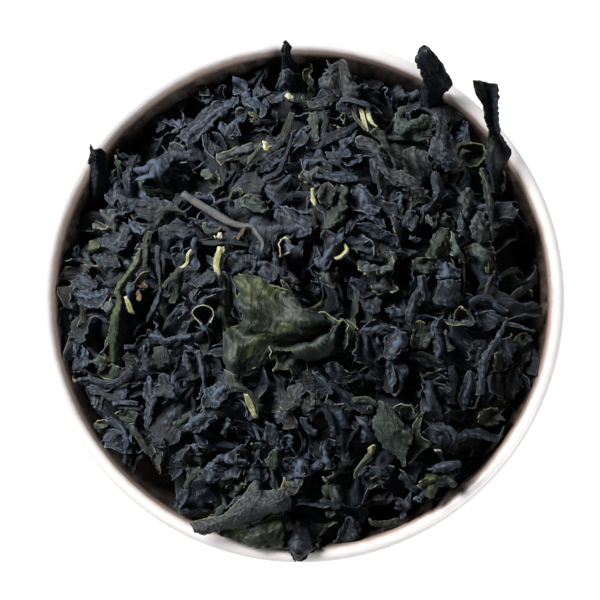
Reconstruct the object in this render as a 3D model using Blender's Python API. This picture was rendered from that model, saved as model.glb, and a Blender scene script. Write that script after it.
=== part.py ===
"""A small round glazed bowl heaped with dried wakame.

Metres, +Z up. The origin is the centre of the foot ring's underside.
The bowl is one turned shell. The wakame is one solid: a core that fills the
bowl, with the crinkled flakes, strips and stems that show on top fused to it.
"""

import math
import random

import bmesh
import bpy
from mathutils import Matrix, Vector

# ---- driving dimensions ----------------------------------------------------

MM = 0.001

RIM_RADIUS = 60.0 * MM  # outside radius at the lip
RIM_WALL = 3.1 * MM  # thickness of the lip, rounded over
BOWL_HEIGHT = 56.0 * MM
FOOT_RADIUS = 26.5 * MM  # outside radius of the foot ring
FOOT_WIDTH = 4.0 * MM
FOOT_HEIGHT = 4.5 * MM
FLOOR_RADIUS = 20.0 * MM  # flat middle of the inside
FLOOR_HEIGHT = 8.0 * MM  # height of the inside's floor above the table
WALL_SWEEP = math.radians(72.0)  # how far the wall's arc turns from flat to steep

BOWL_SECTORS = 48
WALL_STEPS = 8
LIP_STEPS = 4

FIT_GAP = 0.5 * MM  # between the wakame and the bowl
CORE_SECTORS = 30
CORE_SUMMIT = 8.0 * MM  # the core's middle above the rim
CORE_EDGE_DROP = 13.0 * MM  # the core's edge below the rim, on average
CORE_EDGE_SWING = 5.0 * MM  # how much lower that edge lies on one side
LOW_SIDE = math.radians(80.0)  # the direction of that low side
DOME_POWER = 0.85

FLAKE_THICKNESS = 0.5 * MM
SINK = 1.6 * MM  # how deep a flake's lowest point is pressed into the core
FLAKE_COUNT = 66
FLAKE_ROWS = 4
FLAKE_COLUMNS = 2
COVER_RADIUS = 53.5 * MM
GOLDEN_ANGLE = math.pi * (3.0 - math.sqrt(5.0))
SEED = 41

# Sheets that stand out from the heap, placed one by one, in millimetres from
# the bowl's axis: x, y, heading, length, width, curl across, bend along,
# tilt, lift above the core. Angles are in degrees.
NOTED_FLAKES = {
    "centre_leaf": (-5.5, -6.5, 8, 31, 24, 50, 30, 6, 4.5),
    "centre_lobe": (6.5, -9.5, -62, 19, 10, -100, 25, 12, 4.5),
    "long_fold": (21.0, 30.0, -132, 21, 9, 110, 20, 10, 3.5),
    "upper_right_leaf": (28.5, 36.0, -12, 16, 12, 70, 35, 18, 4.0),
    "right_fold": (41.0, 16.5, 8, 20, 9, 90, 30, 20, 3.5),
    "green_leaf": (23.0, -31.5, -170, 15, 12, -75, 30, 14, 3.5),
    "edge_leaf": (30.5, -43.0, -125, 12, 8, 45, 25, 16, 2.5),
    "pale_curl": (35.0, -5.0, 80, 10, 5, 150, 20, 12, 3.0),
    "knob_leaf": (-31.5, 27.0, 30, 13, 11, 120, 80, 10, 3.5),
    "tilted_leaf": (-41.0, 30.5, -10, 9, 6, 40, 25, 25, 2.5),
    "curled_cup": (-20.0, -4.0, -40, 6, 6, 200, 10, 20, 3.0),
    "fibre_fan": (12.5, 45.5, -160, 16, 8, 60, 35, 30, 3.0),
}

# Strips that rise past the rim or cross it: spine points as x, y and height
# above the rim, with the strip's width there, all in millimetres.
STRIPS = {
    "upright_strip": (
        (45.0, 17.5, -10.0, 2.5),
        (44.5, 22.5, -3.0, 3.5),
        (45.5, 31.0, 5.5, 6.5),
        (43.5, 36.0, 9.0, 3.6),
        (41.7, 46.0, 14.0, 6.5),
    ),
    "upright_flap": (
        (31.0, 38.0, -12.0, 5.0),
        (31.0, 44.5, 2.0, 6.5),
        (31.0, 48.0, 7.5, 8.5),
        (28.3, 54.0, 13.0, 4.0),
    ),
    "top_spike": (
        (-2.5, 38.0, -14.0, 4.5),
        (-2.8, 43.0, -6.0, 5.5),
        (-2.0, 48.5, 2.0, 3.0),
        (-2.8, 56.0, 7.0, 1.4),
    ),
    "left_spike": (
        (-44.0, 23.0, -13.0, 4.0),
        (-45.5, 29.0, -4.0, 3.5),
        (-46.5, 34.0, 4.0, 1.4),
    ),
    "left_leaf": (
        (-21.5, 15.0, 2.0, 5.0),
        (-30.5, 13.3, 7.0, 6.0),
        (-38.0, 2.0, 5.0, 6.5),
        (-42.5, -12.5, -5.0, 4.5),
    ),
    "rim_leaf": (
        (-1.5, -38.0, -3.0, 6.0),
        (-7.5, -45.0, 4.5, 9.5),
        (-15.5, -49.5, 4.5, 6.5),
        (-24.3, -51.6, 3.0, 3.5),
    ),
    "rim_under_leaf": (
        (-6.5, -44.5, -8.0, 8.0),
        (-8.0, -50.5, 1.6, 12.0),
        (-10.0, -55.5, 2.2, 9.0),
    ),
    "rim_tip": (
        (1.0, -44.0, -9.0, 7.0),
        (1.0, -50.5, 1.2, 9.5),
        (1.0, -55.5, 2.8, 6.0),
        (0.5, -58.8, 2.0, 1.2),
    ),
}

# Midrib stems: both ends as x, y and height above the core, then both radii.
STEMS = {
    "stem": ((-26.5, 23.0, 4.0, 1.0), (-7.5, 12.0, -1.5, 0.6)),
    "yellow_stem": ((-16.5, 10.5, 5.0, 0.9), (-16.0, -1.0, -1.5, 0.7)),
}


# ---- the bowl ----------------------------------------------------------------


def wall_arc(start_radius, start_height, end_radius, end_height, turn):
    """(radius, height) on a bowl's wall once its arc has turned by this angle."""
    out = math.sin(turn) / math.sin(WALL_SWEEP)
    up = (1 - math.cos(turn)) / (1 - math.cos(WALL_SWEEP))
    return (
        start_radius + (end_radius - start_radius) * out,
        start_height + (end_height - start_height) * up,
    )


LIP_RADIUS = RIM_WALL / 2
LIP_HEIGHT = BOWL_HEIGHT - LIP_RADIUS  # where the rounded lip starts
INSIDE = (FLOOR_RADIUS, FLOOR_HEIGHT, RIM_RADIUS - RIM_WALL, LIP_HEIGHT)
OUTSIDE = (FOOT_RADIUS, FOOT_HEIGHT, RIM_RADIUS, LIP_HEIGHT)


def inside_radius(height):
    """Radius of the bowl's inner wall at a height, and of its mouth above the lip."""
    start_radius, start_height, end_radius, end_height = INSIDE
    share = (height - start_height) / (end_height - start_height)
    share = max(0.0, min(1.0, share))
    turn = math.acos(1 - share * (1 - math.cos(WALL_SWEEP)))
    return wall_arc(*INSIDE, turn)[0]


def bowl_profile():
    """The wall's outline from the axis below to the axis above."""
    recess = FOOT_RADIUS - FOOT_WIDTH
    points = [
        (0.0, FOOT_HEIGHT * 0.8),
        (recess - 1.5 * MM, FOOT_HEIGHT * 0.8),
        (recess, 0.6 * MM),
        (recess + 0.6 * MM, 0.0),
        (FOOT_RADIUS - 0.6 * MM, 0.0),
        (FOOT_RADIUS, 0.6 * MM),
    ]
    turns = [WALL_SWEEP * step / WALL_STEPS for step in range(WALL_STEPS + 1)]
    points += [wall_arc(*OUTSIDE, turn) for turn in turns]
    for step in range(1, LIP_STEPS):
        angle = math.pi * step / LIP_STEPS
        middle = RIM_RADIUS - LIP_RADIUS
        points.append((
            middle + LIP_RADIUS * math.cos(angle),
            LIP_HEIGHT + LIP_RADIUS * math.sin(angle),
        ))
    points += [wall_arc(*INSIDE, turn) for turn in reversed(turns)]
    points.append((0.0, FLOOR_HEIGHT))
    return points


def make_bowl(material):
    bm = bmesh.new()
    verts = [bm.verts.new((radius, 0.0, height)) for radius, height in bowl_profile()]
    edges = [bm.edges.new(pair) for pair in zip(verts, verts[1:])]
    bmesh.ops.spin(
        bm,
        geom=verts + edges,
        cent=(0, 0, 0),
        axis=(0, 0, 1),
        angle=math.tau,
        steps=BOWL_SECTORS,
    )
    bmesh.ops.remove_doubles(bm, verts=bm.verts, dist=0.01 * MM)
    bmesh.ops.recalc_face_normals(bm, faces=bm.faces)
    return finished("bowl", bm, material)


# ---- the heap's core ---------------------------------------------------------


def core_height(x, y):
    """Height of the core's bumpy top, which domes up from a sloping edge."""
    mouth = RIM_RADIUS - RIM_WALL
    reach = min(1.0, math.hypot(x, y) / mouth)
    swing = CORE_EDGE_SWING * math.cos(math.atan2(y, x) - LOW_SIDE)
    edge = BOWL_HEIGHT - CORE_EDGE_DROP - swing * reach
    rise = (BOWL_HEIGHT + CORE_SUMMIT - edge) * (1 - reach**2) ** DOME_POWER
    bumps = math.sin(x / (4.1 * MM) + 1.3) * math.cos(y / (3.7 * MM))
    return edge + rise + 0.9 * MM * bumps * (1 - reach**4)


def make_core():
    """A closed body that follows the inner wall up to its edge and domes over."""
    bm = bmesh.new()
    angles = [math.tau * i / CORE_SECTORS for i in range(CORE_SECTORS)]

    def edge_height(angle):
        mouth = inside_radius(BOWL_HEIGHT)
        return core_height(mouth * math.cos(angle), mouth * math.sin(angle))

    rings = []
    floor = FLOOR_HEIGHT + FIT_GAP
    for share in (0.0, 0.12, 0.3, 0.6, 1.0):
        ring = []
        for angle in angles:
            height = floor + (edge_height(angle) - floor) * share
            radius = inside_radius(height - 2 * FIT_GAP) - FIT_GAP
            ring.append((radius * math.cos(angle), radius * math.sin(angle), height))
        rings.append(ring)
    for share in (0.88, 0.7, 0.48, 0.24):
        ring = []
        for (x, y, _) in rings[4]:
            ring.append((x * share, y * share, core_height(x * share, y * share)))
        rings.append(ring)

    loops = [[bm.verts.new(point) for point in ring] for ring in rings]
    for lower, upper in zip(loops, loops[1:]):
        for i in range(CORE_SECTORS):
            j = (i + 1) % CORE_SECTORS
            bm.faces.new((lower[i], lower[j], upper[j], upper[i]))
    bm.faces.new(loops[0])
    top = bm.verts.new((0, 0, core_height(0, 0)))
    for i in range(CORE_SECTORS):
        bm.faces.new((loops[-1][i], loops[-1][(i + 1) % CORE_SECTORS], top))
    bmesh.ops.triangulate(bm, faces=bm.faces)
    bmesh.ops.recalc_face_normals(bm, faces=bm.faces)
    return finished("core", bm)


# ---- sheets, strips and stems --------------------------------------------------


def thin_solid(name, rows, thickness):
    """A closed thin body from rows of points: both faces are split alike."""
    bm = bmesh.new()
    count = len(rows[0])
    normals = grid_normals(rows)
    layers = []
    for side in (1, -1):
        layers.append([
            [bm.verts.new(point + normal * (side * thickness / 2))
             for point, normal in zip(row, row_normals)]
            for row, row_normals in zip(rows, normals)
        ])
    top, under = layers
    for r in range(len(rows) - 1):
        for c in range(count - 1):
            corners = ((r, c), (r, c + 1), (r + 1, c + 1), (r + 1, c))
            for trio in ((0, 1, 2), (0, 2, 3)):
                chosen = [corners[k] for k in trio]
                bm.faces.new([top[a][b] for a, b in chosen])
                bm.faces.new([under[a][b] for a, b in reversed(chosen)])
    last = len(rows) - 1
    border = [(0, c) for c in range(count)]
    border += [(r, count - 1) for r in range(1, last + 1)]
    border += [(last, c) for c in range(count - 2, -1, -1)]
    border += [(r, 0) for r in range(last - 1, 0, -1)]
    for (a, b), (c, d) in zip(border, border[1:] + border[:1]):
        bm.faces.new((top[c][d], top[a][b], under[a][b]))
        bm.faces.new((top[c][d], under[a][b], under[c][d]))
    bmesh.ops.recalc_face_normals(bm, faces=bm.faces)
    return finished(name, bm)


def grid_normals(rows):
    """The unit normal at each point of a grid, from its neighbours."""
    last_row, last_column = len(rows) - 1, len(rows[0]) - 1
    normals = []
    for r in range(last_row + 1):
        line = []
        for c in range(last_column + 1):
            along = rows[min(r + 1, last_row)][c] - rows[max(r - 1, 0)][c]
            across = rows[r][min(c + 1, last_column)] - rows[r][max(c - 1, 0)]
            line.append(across.cross(along).normalized())
        normals.append(line)
    return normals


def flake_grid(length, width, curl, bend, ruffle, phase, rows, columns):
    """Points of a wavy sheet about its middle: X across, Y along, Z out of it."""
    grid = []
    for r in range(rows + 1):
        v = r / rows
        turn = bend * (v - 0.5)
        if abs(bend) > 1e-3:
            radius = length / bend
            along, rise = radius * math.sin(turn), radius * (1 - math.cos(turn))
        else:
            along, rise = length * (v - 0.5), 0.0
        shape = math.sin(math.pi * (0.09 + 0.82 * v)) ** 0.8
        lobes = 1 + 0.22 * math.sin(math.tau * 1.4 * v + phase)
        half = width / 2 * shape * lobes
        line = []
        for c in range(columns + 1):
            u = 2 * c / columns - 1
            if abs(curl) > 1e-3:
                across = half * math.sin(curl / 2 * u) / (curl / 2)
                lift = half * (1 - math.cos(curl / 2 * u)) / (curl / 2)
            else:
                across, lift = half * u, 0.0
            side = phase + (1.9 if u > 0 else 0.0)
            wave = ruffle * abs(u) * math.sin(math.tau * 1.7 * v + side)
            line.append(Vector((
                across,
                along - (lift + wave) * math.sin(turn),
                rise + (lift + wave) * math.cos(turn),
            )))
        grid.append(line)
    return grid


def kept_inside(point):
    """The point, drawn in towards the axis until it clears the bowl's wall."""
    limit = inside_radius(point.z) - 2 * FIT_GAP
    reach = math.hypot(point.x, point.y)
    if reach > limit:
        return Vector((point.x * limit / reach, point.y * limit / reach, point.z))
    return point


def lay_flake(name, x, y, heading, tilt, lift, grid):
    """Turns and sets a sheet on the core, with its lowest point pressed in."""
    turn = (
        Matrix.Rotation(heading, 3, "Z")
        @ Matrix.Rotation(tilt, 3, "X")
        @ Matrix.Rotation(tilt * 0.6, 3, "Y")
    )
    base = Vector((x, y, core_height(x, y) + lift))
    placed = [[base + turn @ point for point in row] for row in grid]
    clearance = min(p.z - core_height(p.x, p.y) for row in placed for p in row)
    drop = Vector((0, 0, clearance + SINK))
    rows = [[kept_inside(p - drop) for p in row] for row in placed]
    return thin_solid(name, rows, FLAKE_THICKNESS)


def spread_flakes():
    """The many flakes: even over the heap, uneven in size, form and turn."""
    rng = random.Random(SEED)
    noted = [(values[0] * MM, values[1] * MM, values[3] * MM * 0.3)
             for values in NOTED_FLAKES.values()]
    flakes = []
    for i in range(FLAKE_COUNT):
        reach = COVER_RADIUS * math.sqrt((i + 0.5) / FLAKE_COUNT)
        angle = i * GOLDEN_ANGLE + rng.uniform(-0.12, 0.12)
        reach += rng.uniform(-2.0, 1.0) * MM
        length = rng.uniform(12.0, 21.0) * MM
        shape = {
            "x": reach * math.cos(angle),
            "y": reach * math.sin(angle),
            "heading": rng.uniform(0, math.tau),
            "tilt": math.radians(rng.choice((-1, 1)) * rng.uniform(8, 48)),
            "length": length,
            "width": length * rng.uniform(0.55, 0.85),
            "curl": math.radians(rng.choice((-1, 1, 1)) * rng.uniform(40, 150)),
            "bend": math.radians(rng.uniform(-80, 90)),
            "ruffle": rng.uniform(0.6, 1.5) * MM,
            "phase": rng.uniform(0, math.tau),
        }
        crowded = any(
            math.hypot(shape["x"] - x, shape["y"] - y) < near for x, y, near in noted
        )
        if not crowded:
            flakes.append(shape)
    return flakes


def strip_point(knots, t):
    """A point on the smooth curve through the knots, for t from 0 to 1."""
    place = t * (len(knots) - 1)
    i = min(int(place), len(knots) - 2)
    f = place - i
    before, here = knots[max(i - 1, 0)], knots[i]
    there, after = knots[i + 1], knots[min(i + 2, len(knots) - 1)]
    return tuple(
        0.5 * (2 * b + (c - a) * f + (2 * a - 5 * b + 4 * c - d) * f**2
               + (3 * b - a - 3 * c + d) * f**3)
        for a, b, c, d in zip(before, here, there, after)
    )


def strip_grid(knots, rows, columns, fold):
    """Points of a strip along its spine, trough-shaped across by the fold."""
    samples = [strip_point(knots, r / rows) for r in range(rows + 1)]
    spine = [Vector((x, y, z)) * MM + Vector((0, 0, BOWL_HEIGHT))
             for x, y, z, _ in samples]
    grid = []
    for r, point in enumerate(spine):
        ahead = spine[min(r + 1, rows)] - spine[max(r - 1, 0)]
        outward = Vector((point.x, point.y, 0)).normalized()
        across = ahead.cross(outward).normalized()
        if ahead.normalized().dot(outward) > 0.8:
            across = Vector((0, 0, 1)).cross(outward).normalized()
        face = across.cross(ahead).normalized()
        half = samples[r][3] * MM / 2
        line = []
        for c in range(columns + 1):
            u = 2 * c / columns - 1
            wave = 0.25 * math.sin(2.1 * r + 2.5 * u)
            line.append(point + across * (half * u)
                        + face * (half * (fold * abs(u) + wave * u)))
        grid.append(line)
    return grid


def make_strip(name, knots):
    """A strip that stands or crosses the rim, clear of the bowl's wall and lip."""
    over_lip = BOWL_HEIGHT + 1.0 * MM
    mouth = inside_radius(BOWL_HEIGHT) - 3.0 * MM
    rows = []
    for row in strip_grid(knots, 2 * len(knots) - 1, 2, 0.45):
        line = []
        for point in row:
            low = point.z < over_lip
            if low and math.hypot(point.x, point.y) > mouth and name.startswith("rim"):
                point.z = over_lip
            line.append(kept_inside(point) if point.z < over_lip else point)
        rows.append(line)
    return thin_solid(name, rows, FLAKE_THICKNESS)


def make_stem(name, first, second):
    """A tapered six-sided midrib stem from one end to the other."""
    ends = []
    for x, y, lift, _ in (first, second):
        x, y = x * MM, y * MM
        ends.append(Vector((x, y, core_height(x, y) + lift * MM)))
    run = ends[1] - ends[0]
    bm = bmesh.new()
    bmesh.ops.create_cone(
        bm,
        cap_ends=True,
        cap_tris=True,
        segments=6,
        radius1=first[3] * MM,
        radius2=second[3] * MM,
        depth=run.length,
    )
    aim = run.to_track_quat("Z", "Y").to_matrix().to_4x4()
    aim.translation = (ends[0] + ends[1]) / 2
    bmesh.ops.transform(bm, matrix=aim, verts=bm.verts)
    bmesh.ops.recalc_face_normals(bm, faces=bm.faces)
    return finished(name, bm)


# ---- the whole heap ------------------------------------------------------------


def make_pieces():
    """Every piece that shows on the heap, each as a closed thin solid."""
    pieces = []
    for name, values in NOTED_FLAKES.items():
        x, y, heading, length, width, curl, bend, tilt, lift = values
        curl, bend = math.radians(curl), math.radians(bend)
        fine = 1 if length > 20 else 0
        grid = flake_grid(
            length * MM, width * MM, curl, bend, 1.2 * MM, x + y, 5 + fine, 4 + fine
        )
        pieces.append(lay_flake(
            name, x * MM, y * MM, math.radians(heading), math.radians(tilt), lift * MM, grid
        ))
    for number, flake in enumerate(spread_flakes()):
        grid = flake_grid(
            flake["length"], flake["width"], flake["curl"], flake["bend"],
            flake["ruffle"], flake["phase"], FLAKE_ROWS, FLAKE_COLUMNS,
        )
        pieces.append(lay_flake(
            f"flake_{number}", flake["x"], flake["y"], flake["heading"], flake["tilt"], 0.0, grid
        ))
    pieces += [make_strip(name, knots) for name, knots in STRIPS.items()]
    pieces += [make_stem(name, *ends) for name, ends in STEMS.items()]
    return pieces


def fuse(core, pieces):
    """Joins the pieces to the core, then keeps only the one outer skin."""
    group = bpy.data.collections.new("heap pieces")
    bpy.context.scene.collection.children.link(group)
    for piece in pieces:
        bpy.context.scene.collection.objects.unlink(piece)
        group.objects.link(piece)
    join = core.modifiers.new("join", "BOOLEAN")
    join.operation = "UNION"
    join.operand_type = "COLLECTION"
    join.collection = group
    join.solver = "MANIFOLD"
    bpy.context.view_layer.objects.active = core
    bpy.ops.object.modifier_apply(modifier=join.name)
    for piece in pieces:
        bpy.data.objects.remove(piece)
    bpy.data.collections.remove(group)
    keep_largest_skin(core)


def keep_largest_skin(obj):
    """Drops loose scraps, and fills sealed hollows by dropping their skins."""
    bm = bmesh.new()
    bm.from_mesh(obj.data)
    bmesh.ops.triangulate(bm, faces=bm.faces)
    unseen = set(bm.verts)
    skins = []
    while unseen:
        front = [unseen.pop()]
        skin = list(front)
        while front:
            vert = front.pop()
            for edge in vert.link_edges:
                other = edge.other_vert(vert)
                if other in unseen:
                    unseen.discard(other)
                    skin.append(other)
                    front.append(other)
        skins.append(skin)
    skins.sort(key=len)
    for skin in skins[:-1]:
        bmesh.ops.delete(bm, geom=skin, context="VERTS")
    bm.to_mesh(obj.data)
    bm.free()


# ---- materials and the scene -----------------------------------------------------


def make_material(name, colour, roughness):
    material = bpy.data.materials.new(name)
    material.use_nodes = True
    shader = material.node_tree.nodes["Principled BSDF"]
    shader.inputs["Base Color"].default_value = (*colour, 1.0)
    shader.inputs["Roughness"].default_value = roughness
    shader.inputs["Metallic"].default_value = 0.0
    return material


def finished(name, bm, material=None):
    """Turns the bmesh into a linked object of that name."""
    mesh = bpy.data.meshes.new(name)
    bm.to_mesh(mesh)
    bm.free()
    if material:
        mesh.materials.append(material)
    obj = bpy.data.objects.new(name, mesh)
    bpy.context.scene.collection.objects.link(obj)
    return obj


def main():
    for obj in list(bpy.data.objects):
        bpy.data.objects.remove(obj)
    glaze = make_material("white glaze", (0.86, 0.83, 0.81), 0.25)
    seaweed = make_material("dried wakame", (0.035, 0.045, 0.055), 0.75)
    bowl = make_bowl(glaze)
    bowl.data.shade_smooth()
    bowl.data.set_sharp_from_angle(angle=math.radians(40))
    wakame = make_core()
    fuse(wakame, make_pieces())
    wakame.name = "wakame"
    wakame.data.materials.clear()
    wakame.data.materials.append(seaweed)


main()
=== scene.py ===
"""A small round bowl, white outside and dark inside, heaped with dried wakame."""

import functools
import math

import bpy
import numpy as np
from bpy.props import FloatProperty, FloatVectorProperty, IntProperty, PointerProperty
from mathutils import Matrix, Vector


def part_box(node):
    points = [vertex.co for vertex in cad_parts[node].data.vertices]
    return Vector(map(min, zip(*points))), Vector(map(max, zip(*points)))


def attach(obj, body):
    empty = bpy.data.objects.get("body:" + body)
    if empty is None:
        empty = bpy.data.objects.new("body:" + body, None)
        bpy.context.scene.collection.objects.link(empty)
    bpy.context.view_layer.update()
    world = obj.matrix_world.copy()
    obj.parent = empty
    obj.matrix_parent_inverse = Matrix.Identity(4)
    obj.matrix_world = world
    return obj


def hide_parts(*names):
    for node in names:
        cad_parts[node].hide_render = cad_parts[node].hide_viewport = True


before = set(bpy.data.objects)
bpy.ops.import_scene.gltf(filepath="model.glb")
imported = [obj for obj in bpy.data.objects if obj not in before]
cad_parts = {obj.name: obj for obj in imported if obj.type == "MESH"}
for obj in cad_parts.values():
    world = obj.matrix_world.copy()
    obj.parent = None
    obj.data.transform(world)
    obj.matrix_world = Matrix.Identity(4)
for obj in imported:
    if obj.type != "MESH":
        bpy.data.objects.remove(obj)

bl_info = {
    "name": "Bowl of dried wakame",
    "version": (1, 0, 0),
    "blender": (4, 5, 0),
    "location": "View3D > Sidebar > Wakame",
    "description": "Makes a small glazed bowl heaped with crinkled dried wakame",
    "category": "Add Mesh",
}

MM = 0.001
TAU = math.tau
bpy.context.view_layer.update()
_, BOWL_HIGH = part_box("bowl")
RIM = BOWL_HIGH[2]  # height of the bowl's lip


# ---- the bowl's form ---------------------------------------------------------------------

RIM_WALL = 3.1 * MM
FOOT_RADIUS = 26.5 * MM
FOOT_WIDTH = 4.0 * MM
FOOT_HEIGHT = 4.5 * MM
FLOOR_RADIUS = 20.0 * MM
FLOOR_HEIGHT = 8.0 * MM
WALL_SWEEP = math.radians(72.0)
LIP_RADIUS = RIM_WALL / 2
LIP_HEIGHT = RIM - LIP_RADIUS
RIM_RADIUS = BOWL_HIGH[0]
INSIDE = (FLOOR_RADIUS, FLOOR_HEIGHT, RIM_RADIUS - RIM_WALL, LIP_HEIGHT)
OUTSIDE = (FOOT_RADIUS, FOOT_HEIGHT, RIM_RADIUS, LIP_HEIGHT)


def wall_arc(wall, turn):
    """(radius, height) on a wall once its arc has turned by this angle."""
    start_radius, start_height, end_radius, end_height = wall
    out = math.sin(turn) / math.sin(WALL_SWEEP)
    up = (1 - math.cos(turn)) / (1 - math.cos(WALL_SWEEP))
    return (
        start_radius + (end_radius - start_radius) * out,
        start_height + (end_height - start_height) * up,
    )


def inside_radius(height):
    """Radius of the bowl's inner wall at these heights, and of its mouth above."""
    start_radius, start_height, end_radius, end_height = INSIDE
    share = np.clip((height - start_height) / (end_height - start_height), 0, 1)
    turn = np.arccos(1 - share * (1 - math.cos(WALL_SWEEP)))
    out = np.sin(turn) / math.sin(WALL_SWEEP)
    return start_radius + (end_radius - start_radius) * out


# ---- the heap's form ---------------------------------------------------------------------

CORE_SUMMIT = 8.0 * MM
CORE_EDGE_DROP = 13.0 * MM
CORE_EDGE_SWING = 5.0 * MM
LOW_SIDE = math.radians(80.0)
DOME_POWER = 0.85
CORE_SUNK = 1.2 * MM  # the core's top is this far below the flakes that it stands for
CORE_ROUGH = 0.5 * MM
CORE_SECTORS = 150
CORE_RINGS = 60
WALL_GAP = 0.6 * MM


def core_height(x, y):
    """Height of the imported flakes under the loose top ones."""
    mouth = RIM_RADIUS - RIM_WALL
    reach = np.minimum(1.0, np.hypot(x, y) / mouth)
    swing = CORE_EDGE_SWING * np.cos(np.arctan2(y, x) - LOW_SIDE)
    edge = RIM - CORE_EDGE_DROP - swing * reach
    rise = (RIM + CORE_SUMMIT - edge) * (1 - reach**2) ** DOME_POWER
    bumps = np.sin(x / (4.1 * MM) + 1.3) * np.cos(y / (3.7 * MM))
    return edge + rise + 0.9 * MM * bumps * (1 - reach**4)


class Ground:
    """How high the heap stands so far, on a square grid of cells."""

    CELL = 0.8 * MM
    SIDE = 160

    def __init__(self):
        middle = (np.arange(self.SIDE) - self.SIDE / 2 + 0.5) * self.CELL
        x, y = np.meshgrid(middle, middle, indexing="ij")
        self.height = core_height(x, y)
        self.lid = np.full_like(self.height, 1.0)  # what the loose flakes stay under

    def cells(self, points):
        index = np.floor(points[..., :2] / self.CELL + self.SIDE / 2).astype(int)
        index = np.clip(index, 0, self.SIDE - 1)
        return index[..., 0], index[..., 1]

    def drop(self, points, sunk):
        """The sheet let down until this share of its points is below the heap's top."""
        gap = points[..., 2] - self.height[self.cells(points)]
        points = points.copy()
        points[..., 2] -= np.quantile(gap, sunk)
        return points

    def cover(self, points):
        np.maximum.at(self.height, self.cells(points), points[..., 2])

    def shelter(self, points, gap):
        """Keeps the loose flakes this far under a leaf that stands out."""
        np.minimum.at(self.lid, self.cells(points), points[..., 2] - gap)

    def over_lid(self, points):
        """How far the sheet comes through the leaves that stand out."""
        return np.quantile(points[..., 2] - self.lid[self.cells(points)], 0.96)


# ---- sheets of seaweed that dried and crinkled -------------------------------------------

ROWS = 37  # points along a sheet
COLUMNS = 21  # and across it
SHEET_KINDS = 26
GROWING_STEPS = 260
GROWN_AT = 0.6  # the share of the steps after which a sheet has its full size
DRIFT = 0.8  # how much of its motion a point keeps from step to step
STIFFNESS = 0.2  # how strongly a sheet resists a sharp fold
SHEET_SEED = 20260
LEAF_SEED = 8


def spread_across(count):
    """Places from -1 to 1 across a sheet, closer together near its margins."""
    even = np.linspace(-1, 1, count)
    return np.sin(even * 1.3) / math.sin(1.3)


def soft_steps(places, steps):
    """A turning angle that changes smoothly at each (place, angle, softness)."""
    turn = np.zeros_like(places)
    for place, angle, softness in steps:
        turn += angle * 0.5 * (1 + np.tanh((places - place) / softness))
    return turn


def bend_curve(places, steps, reach):
    """Where a straight line goes when it turns by soft steps: (ahead, up, turn)."""
    table = np.linspace(-reach, reach, 241)
    turn = soft_steps(table, steps)
    turn -= np.interp(0.0, table, turn)
    spacing = table[1] - table[0]
    ahead = np.cumsum(np.cos(turn)) * spacing
    up = np.cumsum(np.sin(turn)) * spacing
    ahead -= np.interp(0.0, table, ahead)
    up -= np.interp(0.0, table, up)
    return (
        np.interp(places, table, ahead),
        np.interp(places, table, up),
        np.interp(places, table, turn),
    )


def flat_sheet(rng, length, width):
    """A torn sheet's points while it was still wet and flat."""
    v = np.linspace(0, 1, ROWS)
    u = spread_across(COLUMNS)
    halves = []
    for _ in range(2):
        body = np.sin(np.pi * (0.06 + 0.88 * v)) ** rng.uniform(0.4, 0.9)
        lobes = rng.uniform(0.1, 0.32) * np.sin(TAU * (rng.uniform(0.8, 2.4) * v + rng.random()))
        jags = 0.07 * np.sin(TAU * (rng.uniform(4, 7) * v + rng.random()))
        halves.append(body * (1 + lobes + jags))
    left, right = halves
    x = np.where(u[None] < 0, left[:, None], right[:, None]) * u[None] * width / 2
    y = np.repeat((v[:, None] - 0.5) * length, COLUMNS, axis=1)
    x = x + rng.normal(0, 0.12) * width * np.cos(np.pi * (v[:, None] - 0.5))
    y = y + rng.normal(0, 0.12) * length * u[None] ** 2 + rng.normal(0, 0.1) * x
    return np.stack([x, y], axis=-1)


def fold_sheet(rng, flat, folds, bends, twist):
    """The flat sheet rolled along its length, then bent and twisted."""
    length = np.ptp(flat[..., 1])
    width = np.ptp(flat[..., 0])
    lean = rng.normal(0, 0.25)
    across = flat[..., 0] * math.cos(lean) + flat[..., 1] * math.sin(lean)
    along = flat[..., 1] * math.cos(lean) - flat[..., 0] * math.sin(lean)
    creases = [
        (rng.uniform(-0.38, 0.38) * width, rng.choice((-1, 1)) * rng.uniform(0.4, folds),
         rng.uniform(0.5, 2.2) * MM)
        for _ in range(rng.integers(2, 5))
    ]
    x, z, _ = bend_curve(across, creases, width)
    turn = twist * along / length
    x, z = x * np.cos(turn) - z * np.sin(turn), x * np.sin(turn) + z * np.cos(turn)
    kinks = [
        (rng.uniform(-0.4, 0.4) * length, rng.normal(0, bends), rng.uniform(1.0, 3.5) * MM)
        for _ in range(3)
    ]
    y, lift, turn = bend_curve(along, kinks, length)
    return np.stack([x, y - z * np.sin(turn), lift + z * np.cos(turn)], axis=-1)


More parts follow.
